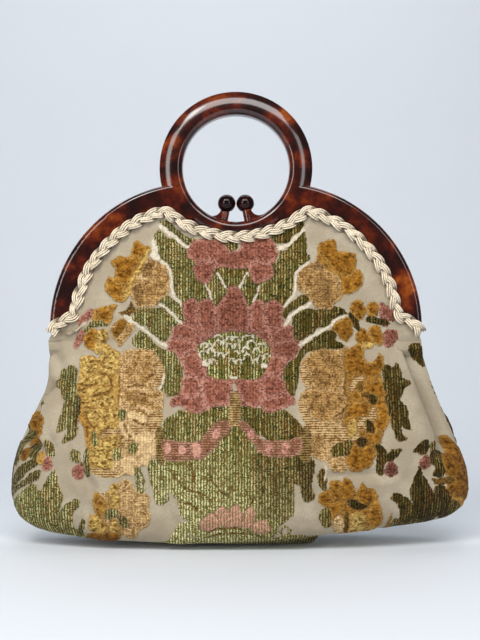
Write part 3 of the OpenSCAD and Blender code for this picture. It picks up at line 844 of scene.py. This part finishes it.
def to_cloth(P, W, cell=1.5, cells=(700, 520), skin=9.0, near=5):
    """Turns points of the image into places on the flat cloth, from the cloth's own visible points.

    A point is hidden if one more than a skin nearer falls in its cell of the image or the next."""
    px, depth = project(P)
    facing = (normals(P) * (np.array(CAM) - P)).sum(2) > 0
    at = tuple(np.clip(px[..., 1 - i] / cell, 0, cells[i] - 1).astype(int) for i in (0, 1))
    nearest = np.full(cells, np.inf)
    np.minimum.at(nearest, at, depth)
    grown = np.min([np.roll(nearest, (dy, dx), (0, 1)) for dy in (-1, 0, 1) for dx in (-1, 0, 1)], axis=0)
    shown = facing & (depth < grown[at] + skin)
    seen, flat = px[shown], W[shown]

    def turn(points):
        out = []
        for q in points:
            d = ((seen - q) ** 2).sum(1)
            k = np.argpartition(d, near)[:near]
            out.append(np.average(flat[k], axis=0, weights=1 / (d[k] + 0.05)))
        return np.array(out)
    return turn


def ripple(u, v, size, seed, n=128):
    """Soft waves of one size over the cloth, from -1 to 1."""
    g = np.random.default_rng(seed).uniform(-1, 1, (n, n))
    i, j = np.floor(u / size).astype(int), np.floor(v / size).astype(int)
    a, b = ease(u / size - i), ease(v / size - j)

    def level(q):
        return g[i % n, (j + q) % n] * (1 - a) + g[(i + 1) % n, (j + q) % n] * a
    return level(0) * (1 - b) + level(1) * b


def weave_pattern(W, shapes):
    """Distances to each kind of figure at every point of a cloth, to a petal's edge, to all figures, and the tone."""
    u, v = W.reshape(-1, 2).T
    # The places are shaken first, so that neighbours' edges are uneven together
    flat = np.stack([x + SMALL * ripple(u, v, SMALL_SIZE, k) + LARGE * ripple(u, v, LARGE_SIZE, k + 2)
                     for k, x in enumerate((u, v))], 1)
    flat += np.random.default_rng(7).uniform(-SHAKE, SHAKE, flat.shape)
    far = {k: np.full(len(flat), -FAR) for k in LAYERS}
    edge, body, tone = np.full(len(flat), FAR), np.full(len(flat), -FAR), np.zeros(len(flat))
    for layer, quiet, shade, outline in shapes:
        lo, hi = outline.min(0) - REACH, outline.max(0) + REACH
        near = np.nonzero(((flat > lo) & (flat < hi)).all(1))[0]
        if not len(near):
            continue
        s = np.concatenate([distance(flat[k], outline) for k in np.array_split(near, len(near) // 4000 + 1)])
        s += 0.0 if layer in FINE else SPREAD
        if quiet:
            tone[near] += (shade - tone[near]) * step(s, -1.0, 1.3)
            continue
        # A figure hides the other kinds under it, but a dark line hides none
        for k in ("dark",) if layer == "dark" else LAYERS:
            far[k][near] = np.maximum(far[k][near], s) if k == layer else np.minimum(far[k][near], 0.3 - s)
        edge[near] = np.where(s > 0, s, np.minimum(edge[near], -s))
        body[near] = np.maximum(body[near], s)
        tone[near] = np.where(s > 0, shade, tone[near])
    return far, edge, body, tone


def grid_quads(rows, cols, wrap=False, start=0):
    i = start + np.arange(rows * cols).reshape(rows, cols)
    if wrap:
        i = np.concatenate([i, i[:, :1]], 1)
    return np.stack([i[:-1, :-1], i[:-1, 1:], i[1:, 1:], i[1:, :-1]], -1).reshape(-1, 4)


def quad_mesh(name, points, quads):
    me = bpy.data.meshes.new(name)
    me.vertices.add(len(points))
    me.vertices.foreach_set("co", (np.asarray(points, float) * MM).ravel())
    me.loops.add(quads.size)
    me.loops.foreach_set("vertex_index", quads.ravel().astype(np.int32))
    me.polygons.add(len(quads))
    me.polygons.foreach_set("loop_start", np.arange(0, quads.size, 4, dtype=np.int32))
    me.update(calc_edges=True)
    me.validate()
    me.polygons.foreach_set("use_smooth", np.ones(len(me.polygons), bool))
    obj = bpy.data.objects.new(name, me)
    bpy.context.scene.collection.objects.link(obj)
    return obj


def grid_mesh(name, P, flip=False):
    """A sheet over a grid of points; a flipped one is mirrored from front to back."""
    q = grid_quads(*P.shape[:2])
    return quad_mesh(name, P.reshape(-1, 3) * (1, -1 if flip else 1, 1), q[:, ::-1] if flip else q)


def put(obj, name, values):
    kind, field = ("FLOAT", "value") if np.ndim(values) == 1 else ("FLOAT_VECTOR", "vector")
    a = obj.data.attributes.new(name, kind, "POINT")
    a.data.foreach_set(field, np.asarray(values, np.float32).ravel())


def dress_panel(name, P, W, shapes, dents, flip):
    """A jacquard panel: soft undulation, dents, and raised pile where the figures are."""
    far, edge, body, tone = weave_pattern(W, shapes)
    u, v = W.reshape(-1, 2).T
    # Undulation, which dies out at the base and at the top
    soft = 0.7 * np.sin(u / 23 + 1.1 + 0.6 * np.sin(v / 31)) * np.sin(v / 27 + 0.4)
    soft += 0.35 * np.sin(u / 9.5 + v / 17 + 2)
    soft *= step(v, 6, 40) * step(v, 245, 205)
    # Dents, each with a low swell beside it
    for a, b, wide, deep in dents:
        e = b - a
        k = np.clip(((u - a[0]) * e[0] + (v - a[1]) * e[1]) / (e ** 2).sum(), 0, 1)
        d = np.hypot(u - a[0] - k * e[0], v - a[1] - k * e[1])
        hollow = np.exp(-(d / wide) ** 2) * (1 - 0.6 * np.abs(2 * k - 1) ** 2)
        soft -= deep * (hollow - 0.45 * np.exp(-((d - 2 * wide) / wide) ** 2))
    crest = 0.55 + 0.45 * step(edge, 0, 2.6)
    pile = sum(h * step(far[k], -0.6, 1.5) for k, h in PILE)
    P = P + normals(P) * (soft + pile * crest).reshape(*W.shape[:2], 1)
    P[..., 2] = np.maximum(P[..., 2], FLOOR_GAP)
    obj = grid_mesh(name, P, flip)
    put(obj, "cloth", np.stack([u, v, 0 * u], 1))
    for k, value in (*far.items(), ("rim", edge), ("body", body), ("tone", tone)):
        put(obj, k, value)
    return obj


def cords_mesh(name, side):
    """A flat plait of three strands, each of three cords laid side by side, along the braid's line."""
    # In millimetres: a step, the plait's pitch, a strand's swing and lift, and the cords' spacing and radius
    ds, pitch, wide, lift, gap, cord_r, sides = 0.8, 31.0, 2.5, 2.0, 1.4, 0.72, 8
    end = HALF_LEN + BRAID_TAIL
    s = np.linspace(-end, end, int(2 * end / ds))
    # The line, carried on past its ends and rounded at its corners
    fine = np.arange(-HALF_LEN - 20, HALF_LEN + 20, 0.5)
    over = (np.abs(fine) - HALF_LEN).clip(0)
    base = braid_line(np.clip(fine, -HALF_LEN, HALF_LEN))
    base = blur(base + np.stack([0.55 * over * np.sign(fine), -0.83 * over], 1), 5.0, 12, mode="edge")
    run = unit(np.gradient(base, axis=0))
    taper = 0.9 + 0.1 * step(end - np.abs(s), 0, 9) + 0.3 * step(np.abs(s), end - 5, end)
    thin = np.sqrt(np.clip((end - np.abs(s)) / 1.2, 0.003, 1))[:, None, None]
    ang = np.arange(sides) * 2 * math.pi / sides
    points, quads, shade = [], [], []
    for strand in range(3):
        th = 2 * math.pi * s / pitch + 2 * math.pi * strand / 3 + 0.35 * np.sin(s / 37 + strand)
        slope = np.arctan(wide * 2 * math.pi / pitch * np.cos(th))
        for j in (-1, 0, 1):
            off = gap * j * taper * (1 + 0.08 * np.sin(s / 5.3 + 2 * strand))
            lat = wide * np.sin(th) * taper + off * np.cos(slope) + 0.15 * np.sin(s / 3.1 + 5 * j + strand)
            at = s - off * np.sin(slope)
            x, z = (along(at, fine, base) + across(unit(along(at, fine, run))) * lat[:, None]).T
            up = 2.0 + lift * np.sin(2 * th) + 0.8 * (1 - 0.8 * j ** 2) + 0.15 * np.sin(s / 2.7 + 3 * j + strand)
            line = np.stack([x, side * (FACE_Y + up), z], 1)
            tan = unit(np.gradient(line, axis=0))
            a = unit(np.cross(tan, (0, 1.0, 0)))
            b = np.cross(tan, a)
            b *= np.sign(b[:, 1:2]) * side
            ring = np.cos(ang)[:, None] * a[:, None] + np.sin(ang)[:, None] * b[:, None]
            quads.append(grid_quads(len(s), sides, True, len(points) * len(s) * sides))
            points.append((line[:, None] + cord_r * thin * ring).reshape(-1, 3))
            # Painted shade: darker on each cord's sides and underside, and where a strand dives under its neighbours
            low = step(-np.sin(ang)[None], -0.8, 0.0) + 0.85 * step(-np.sin(2 * th), -0.1, 0.8)[:, None]
            shade.append(np.clip(low, 0, 1).ravel())
    obj = quad_mesh(name, np.concatenate(points), np.concatenate(quads))
    put(obj, "cord_shade", np.concatenate(shade))
    return obj


# Materials

def lin(r, g, b):
    """A colour given in screen values from 0 to 255."""
    f = lambda v: v / 3294.6 if v <= 10.31 else ((v / 255 + 0.055) / 1.055) ** 2.4
    return (f(r), f(g), f(b), 1.0)


class Net:
    """A small helper that wires up one procedural material."""

    def __init__(self, name):
        self.mat = bpy.data.materials.new(name)
        self.mat.use_nodes = True
        self.nodes, self.links = self.mat.node_tree.nodes, self.mat.node_tree.links
        self.shader = self.nodes["Principled BSDF"]

    def put(self, socket, value):
        if isinstance(value, bpy.types.NodeSocket):
            self.links.new(value, socket)
        else:
            socket.default_value = value

    def node(self, kind, inputs=(), **settings):
        """A new node's outputs. Inputs are given in order, or by name or number."""
        n = self.nodes.new("ShaderNode" + kind)
        for k, v in settings.items():
            setattr(n, k, v)
        for k, v in inputs.items() if isinstance(inputs, dict) else enumerate(inputs):
            self.put(n.inputs[k], v)
        return n.outputs

    def math(self, op, *values, clamp=False):
        return self.node("Math", values, operation=op, use_clamp=clamp)[0]

    def add(self, a, b, clamp=False):
        return self.math("ADD", a, b, clamp=clamp)

    def times(self, a, b, clamp=False):
        return self.math("MULTIPLY", a, b, clamp=clamp)

    def off(self, a, by=0.5):
        return self.math("SUBTRACT", a, by)

    def most(self, a, b):
        return self.math("MAXIMUM", a, b)

    def cell(self, a, size):
        return self.math("FLOOR", self.math("DIVIDE", a, size))

    def vec(self, op, a, b):
        return self.node("VectorMath", (a, b), operation=op)[0]

    def ramp(self, v, lo, hi, a=0.0, b=1.0, kind="SMOOTHSTEP"):
        return self.node("MapRange", (v, lo, hi, a, b), interpolation_type=kind)[0]

    def mix(self, t, a, b, mode="MIX"):
        return self.node("Mix", {0: t, 6: a, 7: b}, data_type="RGBA", blend_type=mode)[2]

    def noise(self, vec, scale, detail=2.0, rough=0.5):
        return self.node("TexNoise", dict(Vector=vec, Scale=scale, Detail=detail, Roughness=rough))[0]

    def petals(self, vec, scale):
        return self.node("TexVoronoi", dict(Vector=vec, Scale=scale), voronoi_dimensions="2D",
                         feature="DISTANCE_TO_EDGE")[0]

    def white(self, x, y):
        return self.node("TexWhiteNoise", dict(Vector=self.join(x, y)), noise_dimensions="2D")[0]

    def attr(self, name, output="Fac"):
        return self.node("Attribute", attribute_name=name)[output]

    def place(self):
        return self.node("TexCoord")["Object"]

    def split(self, v):
        return self.node("SeparateXYZ", (v,))

    def join(self, x, y):
        return self.node("CombineXYZ", (x, y, 0.0))[0]

    def bump(self, height, distance, strength):
        n = self.node("Bump", dict(Height=height, Distance=distance, Strength=strength))
        self.put(self.shader.inputs["Normal"], n[0])

    def finish(self, color, rough, **constants):
        self.put(self.shader.inputs["Base Color"], color)
        self.put(self.shader.inputs["Roughness"], rough)
        for k, v in constants.items():
            self.put(self.shader.inputs[k.replace("_", " ")], v)
        return self.mat


# Thread sizes in millimetres: a rib and a pick, a tuft of pile, a level thread, and how far a rib keeps its hue
RIB, PICK, LEVEL, HUE_RUN = 2.05, 0.85, 1.75, 13.0
TUFT_U, TUFT_V, TUFT_SHIFT = 1.55, 1.3, 0.37


def jacquard():
    """The woven cloth: its threads, each kind of figure, and the figures laid over the ground."""
    m = Net("jacquard_weave")
    add, times, off, most, ramp, mix = m.add, m.times, m.off, m.most, m.ramp, m.mix
    cloth = m.attr("cloth", "Vector")
    u, v, _ = m.split(cloth)
    edge, tone, body = m.attr("rim"), m.attr("tone"), m.attr("body")

    def blotch(scale, detail=1.0, stretch=(1.0, 1.0, 1.0), shift=(0.0, 0.0, 0.0)):
        return m.noise(m.vec("ADD", m.vec("MULTIPLY", cloth, stretch), shift), scale, detail)

    def frosted(color, rim, flecks, light):
        """A light, speckled rim."""
        return mix(times(ramp(edge, *rim, 1, 0), ramp(speck, *flecks)), color, lin(*light))

    def toned(color, amount, factor):
        """A colour multiplied by a factor as far as the amount says."""
        return mix(amount, color, mix(1.0, color, (*factor, 1), "MULTIPLY"))

    # Threads: ribs run up the cloth, two picks to a rib
    grain = m.white(m.cell(u, RIB / 2), m.cell(v, PICK))
    tuft_v = m.cell(v, TUFT_V)
    tuft = m.white(m.math("FLOOR", add(m.math("DIVIDE", u, TUFT_U), times(tuft_v, TUFT_SHIFT))), tuft_v)
    wave = m.math("COSINE", times(add(u, RIB / 2), 2 * math.pi / RIB))
    level = m.math("SINE", times(v, 2 * math.pi / LEVEL))
    # The figures' edges step from thread to thread
    jag = times(off(grain), 0.5)
    mask = {k: ramp(add(m.attr(k), times(jag, 0.4 if k in FINE else 1.0)), -0.35, 0.35) for k in LAYERS}
    frill = off(blotch(0.3))
    speck = add(times(grain, 0.8), times(blotch(0.6, 2.0), 0.2))
    curl = ramp(blotch(0.36, 2.0, (0.8, 1.2, 1.0)), 0.34, 0.62)
    mid = blotch(0.22, 2.0, shift=(40.0, 0.0, 0.0))
    broad = blotch(0.045, 2.0)
    # Ground: a smooth cream weave
    ground = mix(ramp(broad, 0.35, 0.68), lin(160, 148, 127), lin(176, 165, 144))
    ground = mix(times(ramp(speck, 0.3, 0.7), 0.25), ground, lin(142, 129, 107))
    # Green: upright ribs broken into dashes, each rib of its own hue. Their crests take a lit colour and the gaps
    # between them a dark brown, partly brown thread and partly painted shade
    each = m.white(m.cell(u, RIB), m.cell(v, HUE_RUN))
    dash = add(times(blotch(0.55, 1.0, (1.6, 0.5, 1.0)), 0.62), times(grain, 0.38))
    bead = times(ramp(wave, -0.7, 0.5, 0.12, 1.0), ramp(dash, 0.36, 0.62, 0.05, 1.0))
    lit = mix(ramp(each, 0.1, 0.9), lin(114, 112, 54), lin(200, 194, 134))
    lit = mix(ramp(each, 0.86, 0.89), lit, lin(190, 159, 101))
    # It is paler low down, and paler to the left as painted light falling from the left
    foot = times(ramp(v, 15, 110, 0.9, 0), ramp(m.math("ABSOLUTE", u), 55, 90, 1, 0))
    pale = add(foot, ramp(u, -80, 90, 0.2, -0.35))
    lit = mix(times(pale, 0.85, clamp=True), lit, lin(237, 231, 177))
    # The colour of the gaps between ribs, darkened in part as painted shade
    low = mix(ramp(mid, 0.38, 0.62), lin(38, 38, 8), lin(86, 64, 20))
    low = mix(times(pale, 0.7, clamp=True), low, lin(104, 94, 38))
    green = mix(bead, low, lit)
    green = mix(ramp(mid, 0.5, 0.7, 0, 0.35), green, lin(66, 58, 20))
    # Rose: cut pile, with faint upright lines and frosted rims
    rose = mix(add(times(tuft, 0.6), times(grain, 0.4)), lin(53, 18, 11), lin(178, 115, 93))
    rose = mix(times(ramp(wave, 0.2, -1.0), 0.35), rose, lin(84, 38, 31))
    rose = mix(ramp(mid, 0.45, 0.68, 0, 0.35), rose, lin(98, 51, 38))
    rose = frosted(rose, (0.6, 3.4), (0.35, 0.7, 0.1, 0.7), (189, 140, 124))
    # A middle tone has level stripes, and a pale one upright streaks
    striped = times(ramp(tone, 0.26, 0.34), ramp(tone, 0.4, 0.48, 1, 0))
    stripes = ramp(add(level, times(off(speck), 1.2)), -0.3, 0.5, 0, 0.9)
    rose = mix(times(stripes, striped), rose, lin(84, 66, 32))
    rose = mix(ramp(tone, 0.45, 0.65, 0, 0.42), rose, lin(206, 156, 136))
    streaks = ramp(add(wave, times(off(speck), 2.4)), 0.3, -0.6)
    rose = mix(times(ramp(tone, 0.6, 0.68, 0, 0.85), streaks), rose, lin(92, 82, 38))
    # Gold: velvet in small curled petals
    bent = m.vec("MULTIPLY", cloth, (0.8, 1.3, 1.0))
    gap = m.petals(m.vec("ADD", bent, m.join(times(frill, 9.0), times(off(mid), 12.0))), 0.17)
    seam = times(ramp(gap, 0.0, 0.1, 1, 0), ramp(frill, -0.12, 0.08))
    dome = add(times(curl, 0.35), times(ramp(mid, 0.36, 0.62), 0.45))
    yellow = ramp(tone, 0.0, 0.45)
    fleck = add(times(off(tuft, 0.35), ramp(yellow, 0, 1, 0.32, 0.6)), times(off(grain), 0.25))
    nap = add(times(dome, 0.75), fleck, clamp=True)
    deep = mix(yellow, lin(86, 47, 4), lin(94, 62, 13))
    gold = mix(nap, deep, mix(yellow, lin(196, 139, 49), lin(231, 199, 117)))
    gold = mix(times(seam, ramp(yellow, 0, 1, 0.3, 0.75)), gold, lin(98, 62, 19))
    gold = frosted(gold, (0.4, 2.4), (0.3, 0.7, 0.15, 0.6), (203, 162, 86))
    # Tan: short pile with fine level threads
    threads = times(ramp(level, -0.8, 0.8), ramp(mid, 0.4, 0.62, 0.06, 0.28))
    woven = add(times(nap, 0.42), add(threads, times(off(grain, 0.15), 0.5)), clamp=True)
    deep = mix(yellow, lin(84, 52, 18), lin(112, 76, 36))
    tan = mix(woven, deep, mix(yellow, lin(214, 172, 108), lin(248, 218, 162)))
    tan = frosted(tan, (0.4, 2.0), (0.3, 0.7, 0.1, 0.5), (226, 196, 144))
    tan = mix(ramp(tone, 0.45, 0.6, 0, 0.5), tan, lin(228, 200, 152))
    tan = mix(times(ramp(wave, 0.0, -1.0), 0.3), tan, lin(128, 90, 44))
    tan = mix(times(seam, 0.4), tan, lin(116, 78, 36))
    # Comb: the ground shows between level threads
    teeth = add(level, add(times(off(speck), 2.2), times(off(mid), 5.0)))
    comb = mix(ramp(teeth, -0.9, 0.9), lin(110, 76, 34), lin(194, 165, 118))
    comb = toned(comb, ramp(tone, 0, -0.6), (0.42, 0.42, 0.3))
    # Fine lines
    cream = mix(ramp(speck, 0.3, 0.7), lin(190, 179, 157), lin(213, 204, 184))
    dark = mix(ramp(speck, 0.35, 0.7), lin(70, 50, 20), lin(118, 88, 40))
    # Between two petals the pile parts, and the gap is darkened, partly the backing showing and partly painted shade
    part = times(ramp(edge, 0.1, 1.1, 1, 0), ramp(body, 1.4, 2.8))
    rose = mix(times(part, 0.5), rose, lin(96, 48, 36))
    gold = mix(times(part, 0.55), gold, lin(104, 66, 24))
    tan = mix(times(part, 0.45), tan, lin(120, 82, 40))
    green = mix(times(part, 0.35), green, lin(60, 48, 20))
    # The figures over the ground, then lighter and darker tones, and a painted warm shade over the green on the right
    color = ground
    for k, c in (("comb", comb), ("tan", tan), ("green", green), ("rose", rose), ("gold", gold),
                 ("cream", cream), ("dark", dark)):
        color = mix(mask[k], color, c)
    raised = most(most(mask["rose"], mask["gold"]), most(mask["green"], mask["tan"]))
    color = toned(color, times(ramp(tone, 0, 0.6), most(mask["rose"], mask["green"])), (1.3, 1.42, 1.42))
    color = toned(color, times(ramp(tone, 0, -0.6, kind="LINEAR"), raised), (0.5, 0.47, 0.44))
    # Painted shade: the green darkens and warms towards the right
    color = toned(color, times(ramp(u, -20, 100), mask["green"]), (0.64, 0.55, 0.38))
    high = times(blotch(1.2), 0.08)
    for mass, height in ((mask["green"], times(bead, 0.45)), (mask["rose"], times(speck, 0.22)),
                         (mask["gold"], times(speck, 0.25)),
                         (mask["gold"], add(times(curl, 0.3), ramp(gap, 0.0, 0.3, 0, 0.3))),
                         (mask["tan"], add(times(curl, 0.4), times(speck, 0.25))),
                         (mask["comb"], times(level, 0.15)), (raised, 0.25)):
        high = add(high, times(mass, height))
    m.bump(high, 0.001, 0.9)
    return m.finish(color, 0.95, Sheen_Weight=0.06, Sheen_Roughness=0.5, Specular_IOR_Level=0.1)


def tortoiseshell():
    m = Net("tortoiseshell_resin")
    tc = m.place()
    a = m.noise(m.vec("MULTIPLY", tc, (1, 0.4, 1)), 45, 3, 0.55)
    b = m.noise(m.vec("ADD", tc, (1.7, 0.3, 0.9)), 110, 3, 0.6)
    n = m.nodes.new("ShaderNodeValToRGB")
    m.put(n.inputs[0], m.add(m.times(a, 0.72), m.times(b, 0.28)))
    e = n.color_ramp.elements
    e[0].position, e[0].color = 0.40, lin(26, 4, 2)
    e[1].position, e[1].color = 0.72, lin(176, 98, 26)
    for at, color in ((0.48, lin(48, 9, 3)), (0.54, lin(76, 21, 5)), (0.61, lin(116, 48, 9))):
        e.new(at).color = color
    return m.finish(n.outputs[0], 0.16, Coat_Weight=0.6, Coat_Roughness=0.06, Specular_IOR_Level=0.4)


def clasp():
    m = Net("clasp_resin")
    c = m.mix(m.ramp(m.noise(m.place(), 120, 3), 0.35, 0.7), lin(18, 3, 3), lin(46, 9, 6))
    return m.finish(c, 0.06, Specular_IOR_Level=0.25)


def steel():
    m = Net("pin_steel")
    scratch = m.noise(m.vec("MULTIPLY", m.place(), (40, 600, 600)), 1.0, 3)
    c = m.mix(m.ramp(scratch, 0.3, 0.7), lin(150, 140, 122), lin(186, 176, 158))
    return m.finish(c, m.ramp(scratch, 0.3, 0.7, 0.25, 0.42), Metallic=1.0)


def cotton():
    m = Net("braid_cotton")
    tc = m.place()
    c = m.mix(m.ramp(m.noise(tc, 700, 2), 0.35, 0.7), lin(222, 206, 178), lin(244, 234, 212))
    c = m.mix(m.times(m.ramp(m.noise(tc, 60, 2), 0.45, 0.7), 0.3), c, lin(210, 190, 156))
    # The cords' painted shade, carried on the mesh
    c = m.mix(m.times(m.attr("cord_shade"), 0.95), c, lin(92, 70, 44))
    m.bump(m.noise(tc, 1600, 2), 0.0003, 0.5)
    return m.finish(c, 0.7, Sheen_Weight=0.2, Specular_IOR_Level=0.3)


def lining():
    m = Net("lining_satin")
    tc = m.place()
    x, _, z = m.split(tc)
    weave = m.math("SINE", m.times(m.add(x, z), 7000.0))
    c = m.mix(m.ramp(m.noise(tc, 22, 3), 0.35, 0.7), lin(196, 178, 150), lin(216, 200, 174))
    m.bump(m.add(m.times(weave, 0.12), m.times(m.noise(tc, 55, 2), 1.6)), 0.001, 0.5)
    return m.finish(c, 0.42, Sheen_Weight=0.15, Specular_IOR_Level=0.45)


def cut(W):
    """The size and area of a cloth laid flat, in metres."""
    d, e = W[1:, 1:] - W[:-1, :-1], W[1:, :-1] - W[:-1, 1:]
    area = np.abs(d[..., 0] * e[..., 1] - d[..., 1] * e[..., 0]).sum() / 2
    return dict(flat=tuple(float(v) for v in np.ptp(W, axis=(0, 1)) * MM), area=float(area) * MM ** 2)


# The panels
front_P, front_W = panel(cols=344, base_rows=12, low_rows=150, top_rows=100, pleated=True)
turn = to_cloth(front_P, front_W)
shapes = read_figures(turn)
dents = [(*turn((a, b)), w, d) for a, b, w, d in DENTS]
front_cloth = dress_panel("front_cloth", front_P, front_W, shapes, dents, False)
back_P, back_W = panel(cols=300, base_rows=10, low_rows=130, top_rows=90, pleated=False)
back_cloth = dress_panel("back_cloth", back_P, back_W * (-1, 1), shapes, [], True)
weave = jacquard()
for o in (front_cloth, back_cloth):
    o.data.materials.append(weave)
    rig.slot(o, "jacquard")
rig.sheet(front_cloth, held="hung", rests_on=["front_frame"], **cut(front_W))
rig.sheet(back_cloth, held="hung", rests_on=["back_frame"], **cut(back_W))


def lining_top(c):
    """The lining's upper edge, inside the arch's opening and under the ring."""
    return braid_line(c * HALF_LEN) * (LINING_SHARE, 1) - (0, LINING_DROP)


satin, linings = lining(), []
for name, sign in (("front_lining_cloth", -1), ("back_lining_cloth", 1)):
    P, W = panel(cols=120, base_rows=5, low_rows=50, top_rows=26, pleated="inside" if sign < 0 else False,
                 inset=LINING_GAP, top=lining_top)
    P[..., 2] = np.maximum(P[..., 2], LINING_FLOOR)
    o = grid_mesh(name, P, sign > 0)
    o.data.materials.append(satin)
    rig.slot(o, "lining")
    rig.sheet(o, held="hung", rests_on=["front_frame" if sign < 0 else "back_frame"], **cut(W))
    linings.append(o)

braids = [cords_mesh("front_plait", -1), cords_mesh("back_plait", 1)]
cord_mat = cotton()
for o in braids:
    o.data.materials.append(cord_mat)
    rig.slot(o, "braid")

for mat, *names in ((tortoiseshell(), "front_frame", "back_frame"), (clasp(), "front_clasp_ball", "back_clasp_ball"),
                    (steel(), "left_hinge_pin", "right_hinge_pin")):
    for n in names:
        nodes[n].data.materials.clear()
        nodes[n].data.materials.append(mat)

# What each piece moves with and stands for
for o, ns in ((front_cloth, ("front_panel", "front_panel_top")), (linings[0], ("front_lining", "front_lining_top"))):
    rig.blend(o, "bag", "front", start=(0, 0, 0.146), end=(0, 0, 0.166))
    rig.replaces(o, *ns)
for o, body, n in ((back_cloth, "bag", "back_panel"), (linings[1], "bag", "back_lining"),
                   (braids[0], "front", "front_braid"), (braids[1], "bag", "back_braid")):
    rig.ride(o, body)
    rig.replaces(o, n)


# Floor, light and camera, in metres

def sweep(name, color):
    """A seamless sweep: floor, curve and backdrop."""
    turn_r, front, back, side, top = 0.5, -2.5, 0.9, 2.4, 2.6
    a = np.linspace(0, math.pi / 2, 24)
    y = np.r_[front, back - turn_r + turn_r * np.sin(a), back]
    z = np.r_[0, turn_r - turn_r * np.cos(a), top]
    P = np.stack([np.stack([np.full(len(y), x), y, z], 1) for x in (-side, side)], 1)
    o = grid_mesh(name, P / MM)
    m = Net(name)
    g = m.noise(m.node("NewGeometry")["Position"], 3.0, 2)
    darker = (*(0.96 * v for v in color[:3]), 1)
    o.data.materials.append(m.finish(m.mix(g, color, darker), 0.85, Specular_IOR_Level=0.1))
    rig.stage(o)


def area(name, place, target_z, size, power, color):
    """A rectangular light that faces a height on the part's middle line."""
    light = bpy.data.lights.new(name, "AREA")
    light.shape, light.energy, light.color = "RECTANGLE", power, color
    light.size, light.size_y = size
    o = bpy.data.objects.new(name, light)
    bpy.context.scene.collection.objects.link(o)
    o.location = place
    o.rotation_euler = (Vector((0, 0, target_z)) - Vector(place)).to_track_quat("-Z", "Y").to_euler()


sweep("floor_sweep", lin(224, 231, 239))
area("key", (-0.5, -0.85, 1.1), 0.14, (0.25, 0.25), 2.0, (1.0, 0.96, 0.9))
area("side", (-0.85, -1.05, 0.55), 0.16, (0.4, 0.9), 6.0, (1.0, 0.97, 0.92))
area("window", (-0.05, -0.95, 1.15), 0.22, (1.4, 0.52), 15, (1.0, 0.97, 0.95))
area("strip", (0.75, -1.05, 0.5), 0.2, (0.3, 0.8), 2.8, (1.0, 0.97, 0.95))
area("top", (0.0, 0.35, 1.3), 0.15, (1.1, 0.8), 4.5, (0.97, 0.98, 1.0))
world = bpy.data.worlds.new("studio")
world.use_nodes = True
world.node_tree.nodes["Background"].inputs[0].default_value = lin(228, 228, 228)
world.node_tree.nodes["Background"].inputs[1].default_value = 0.17
bpy.context.scene.world = world

cam = bpy.data.cameras.new("camera")
cam.lens, cam.sensor_width, cam.clip_start = LENS, SENSOR, 0.01
camera = bpy.data.objects.new("camera", cam)
bpy.context.scene.collection.objects.link(camera)
camera.location = tuple(v * MM for v in CAM)
camera.rotation_euler = (math.pi / 2, 0, 0)
bpy.context.scene.camera = camera
bpy.context.scene.view_settings.view_transform = "Standard"

json.dump({"cad": [list(map(float, p)) for p in cad_box], "visual": [list(map(float, p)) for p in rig.bounds()]}, open("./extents.json", "w"))
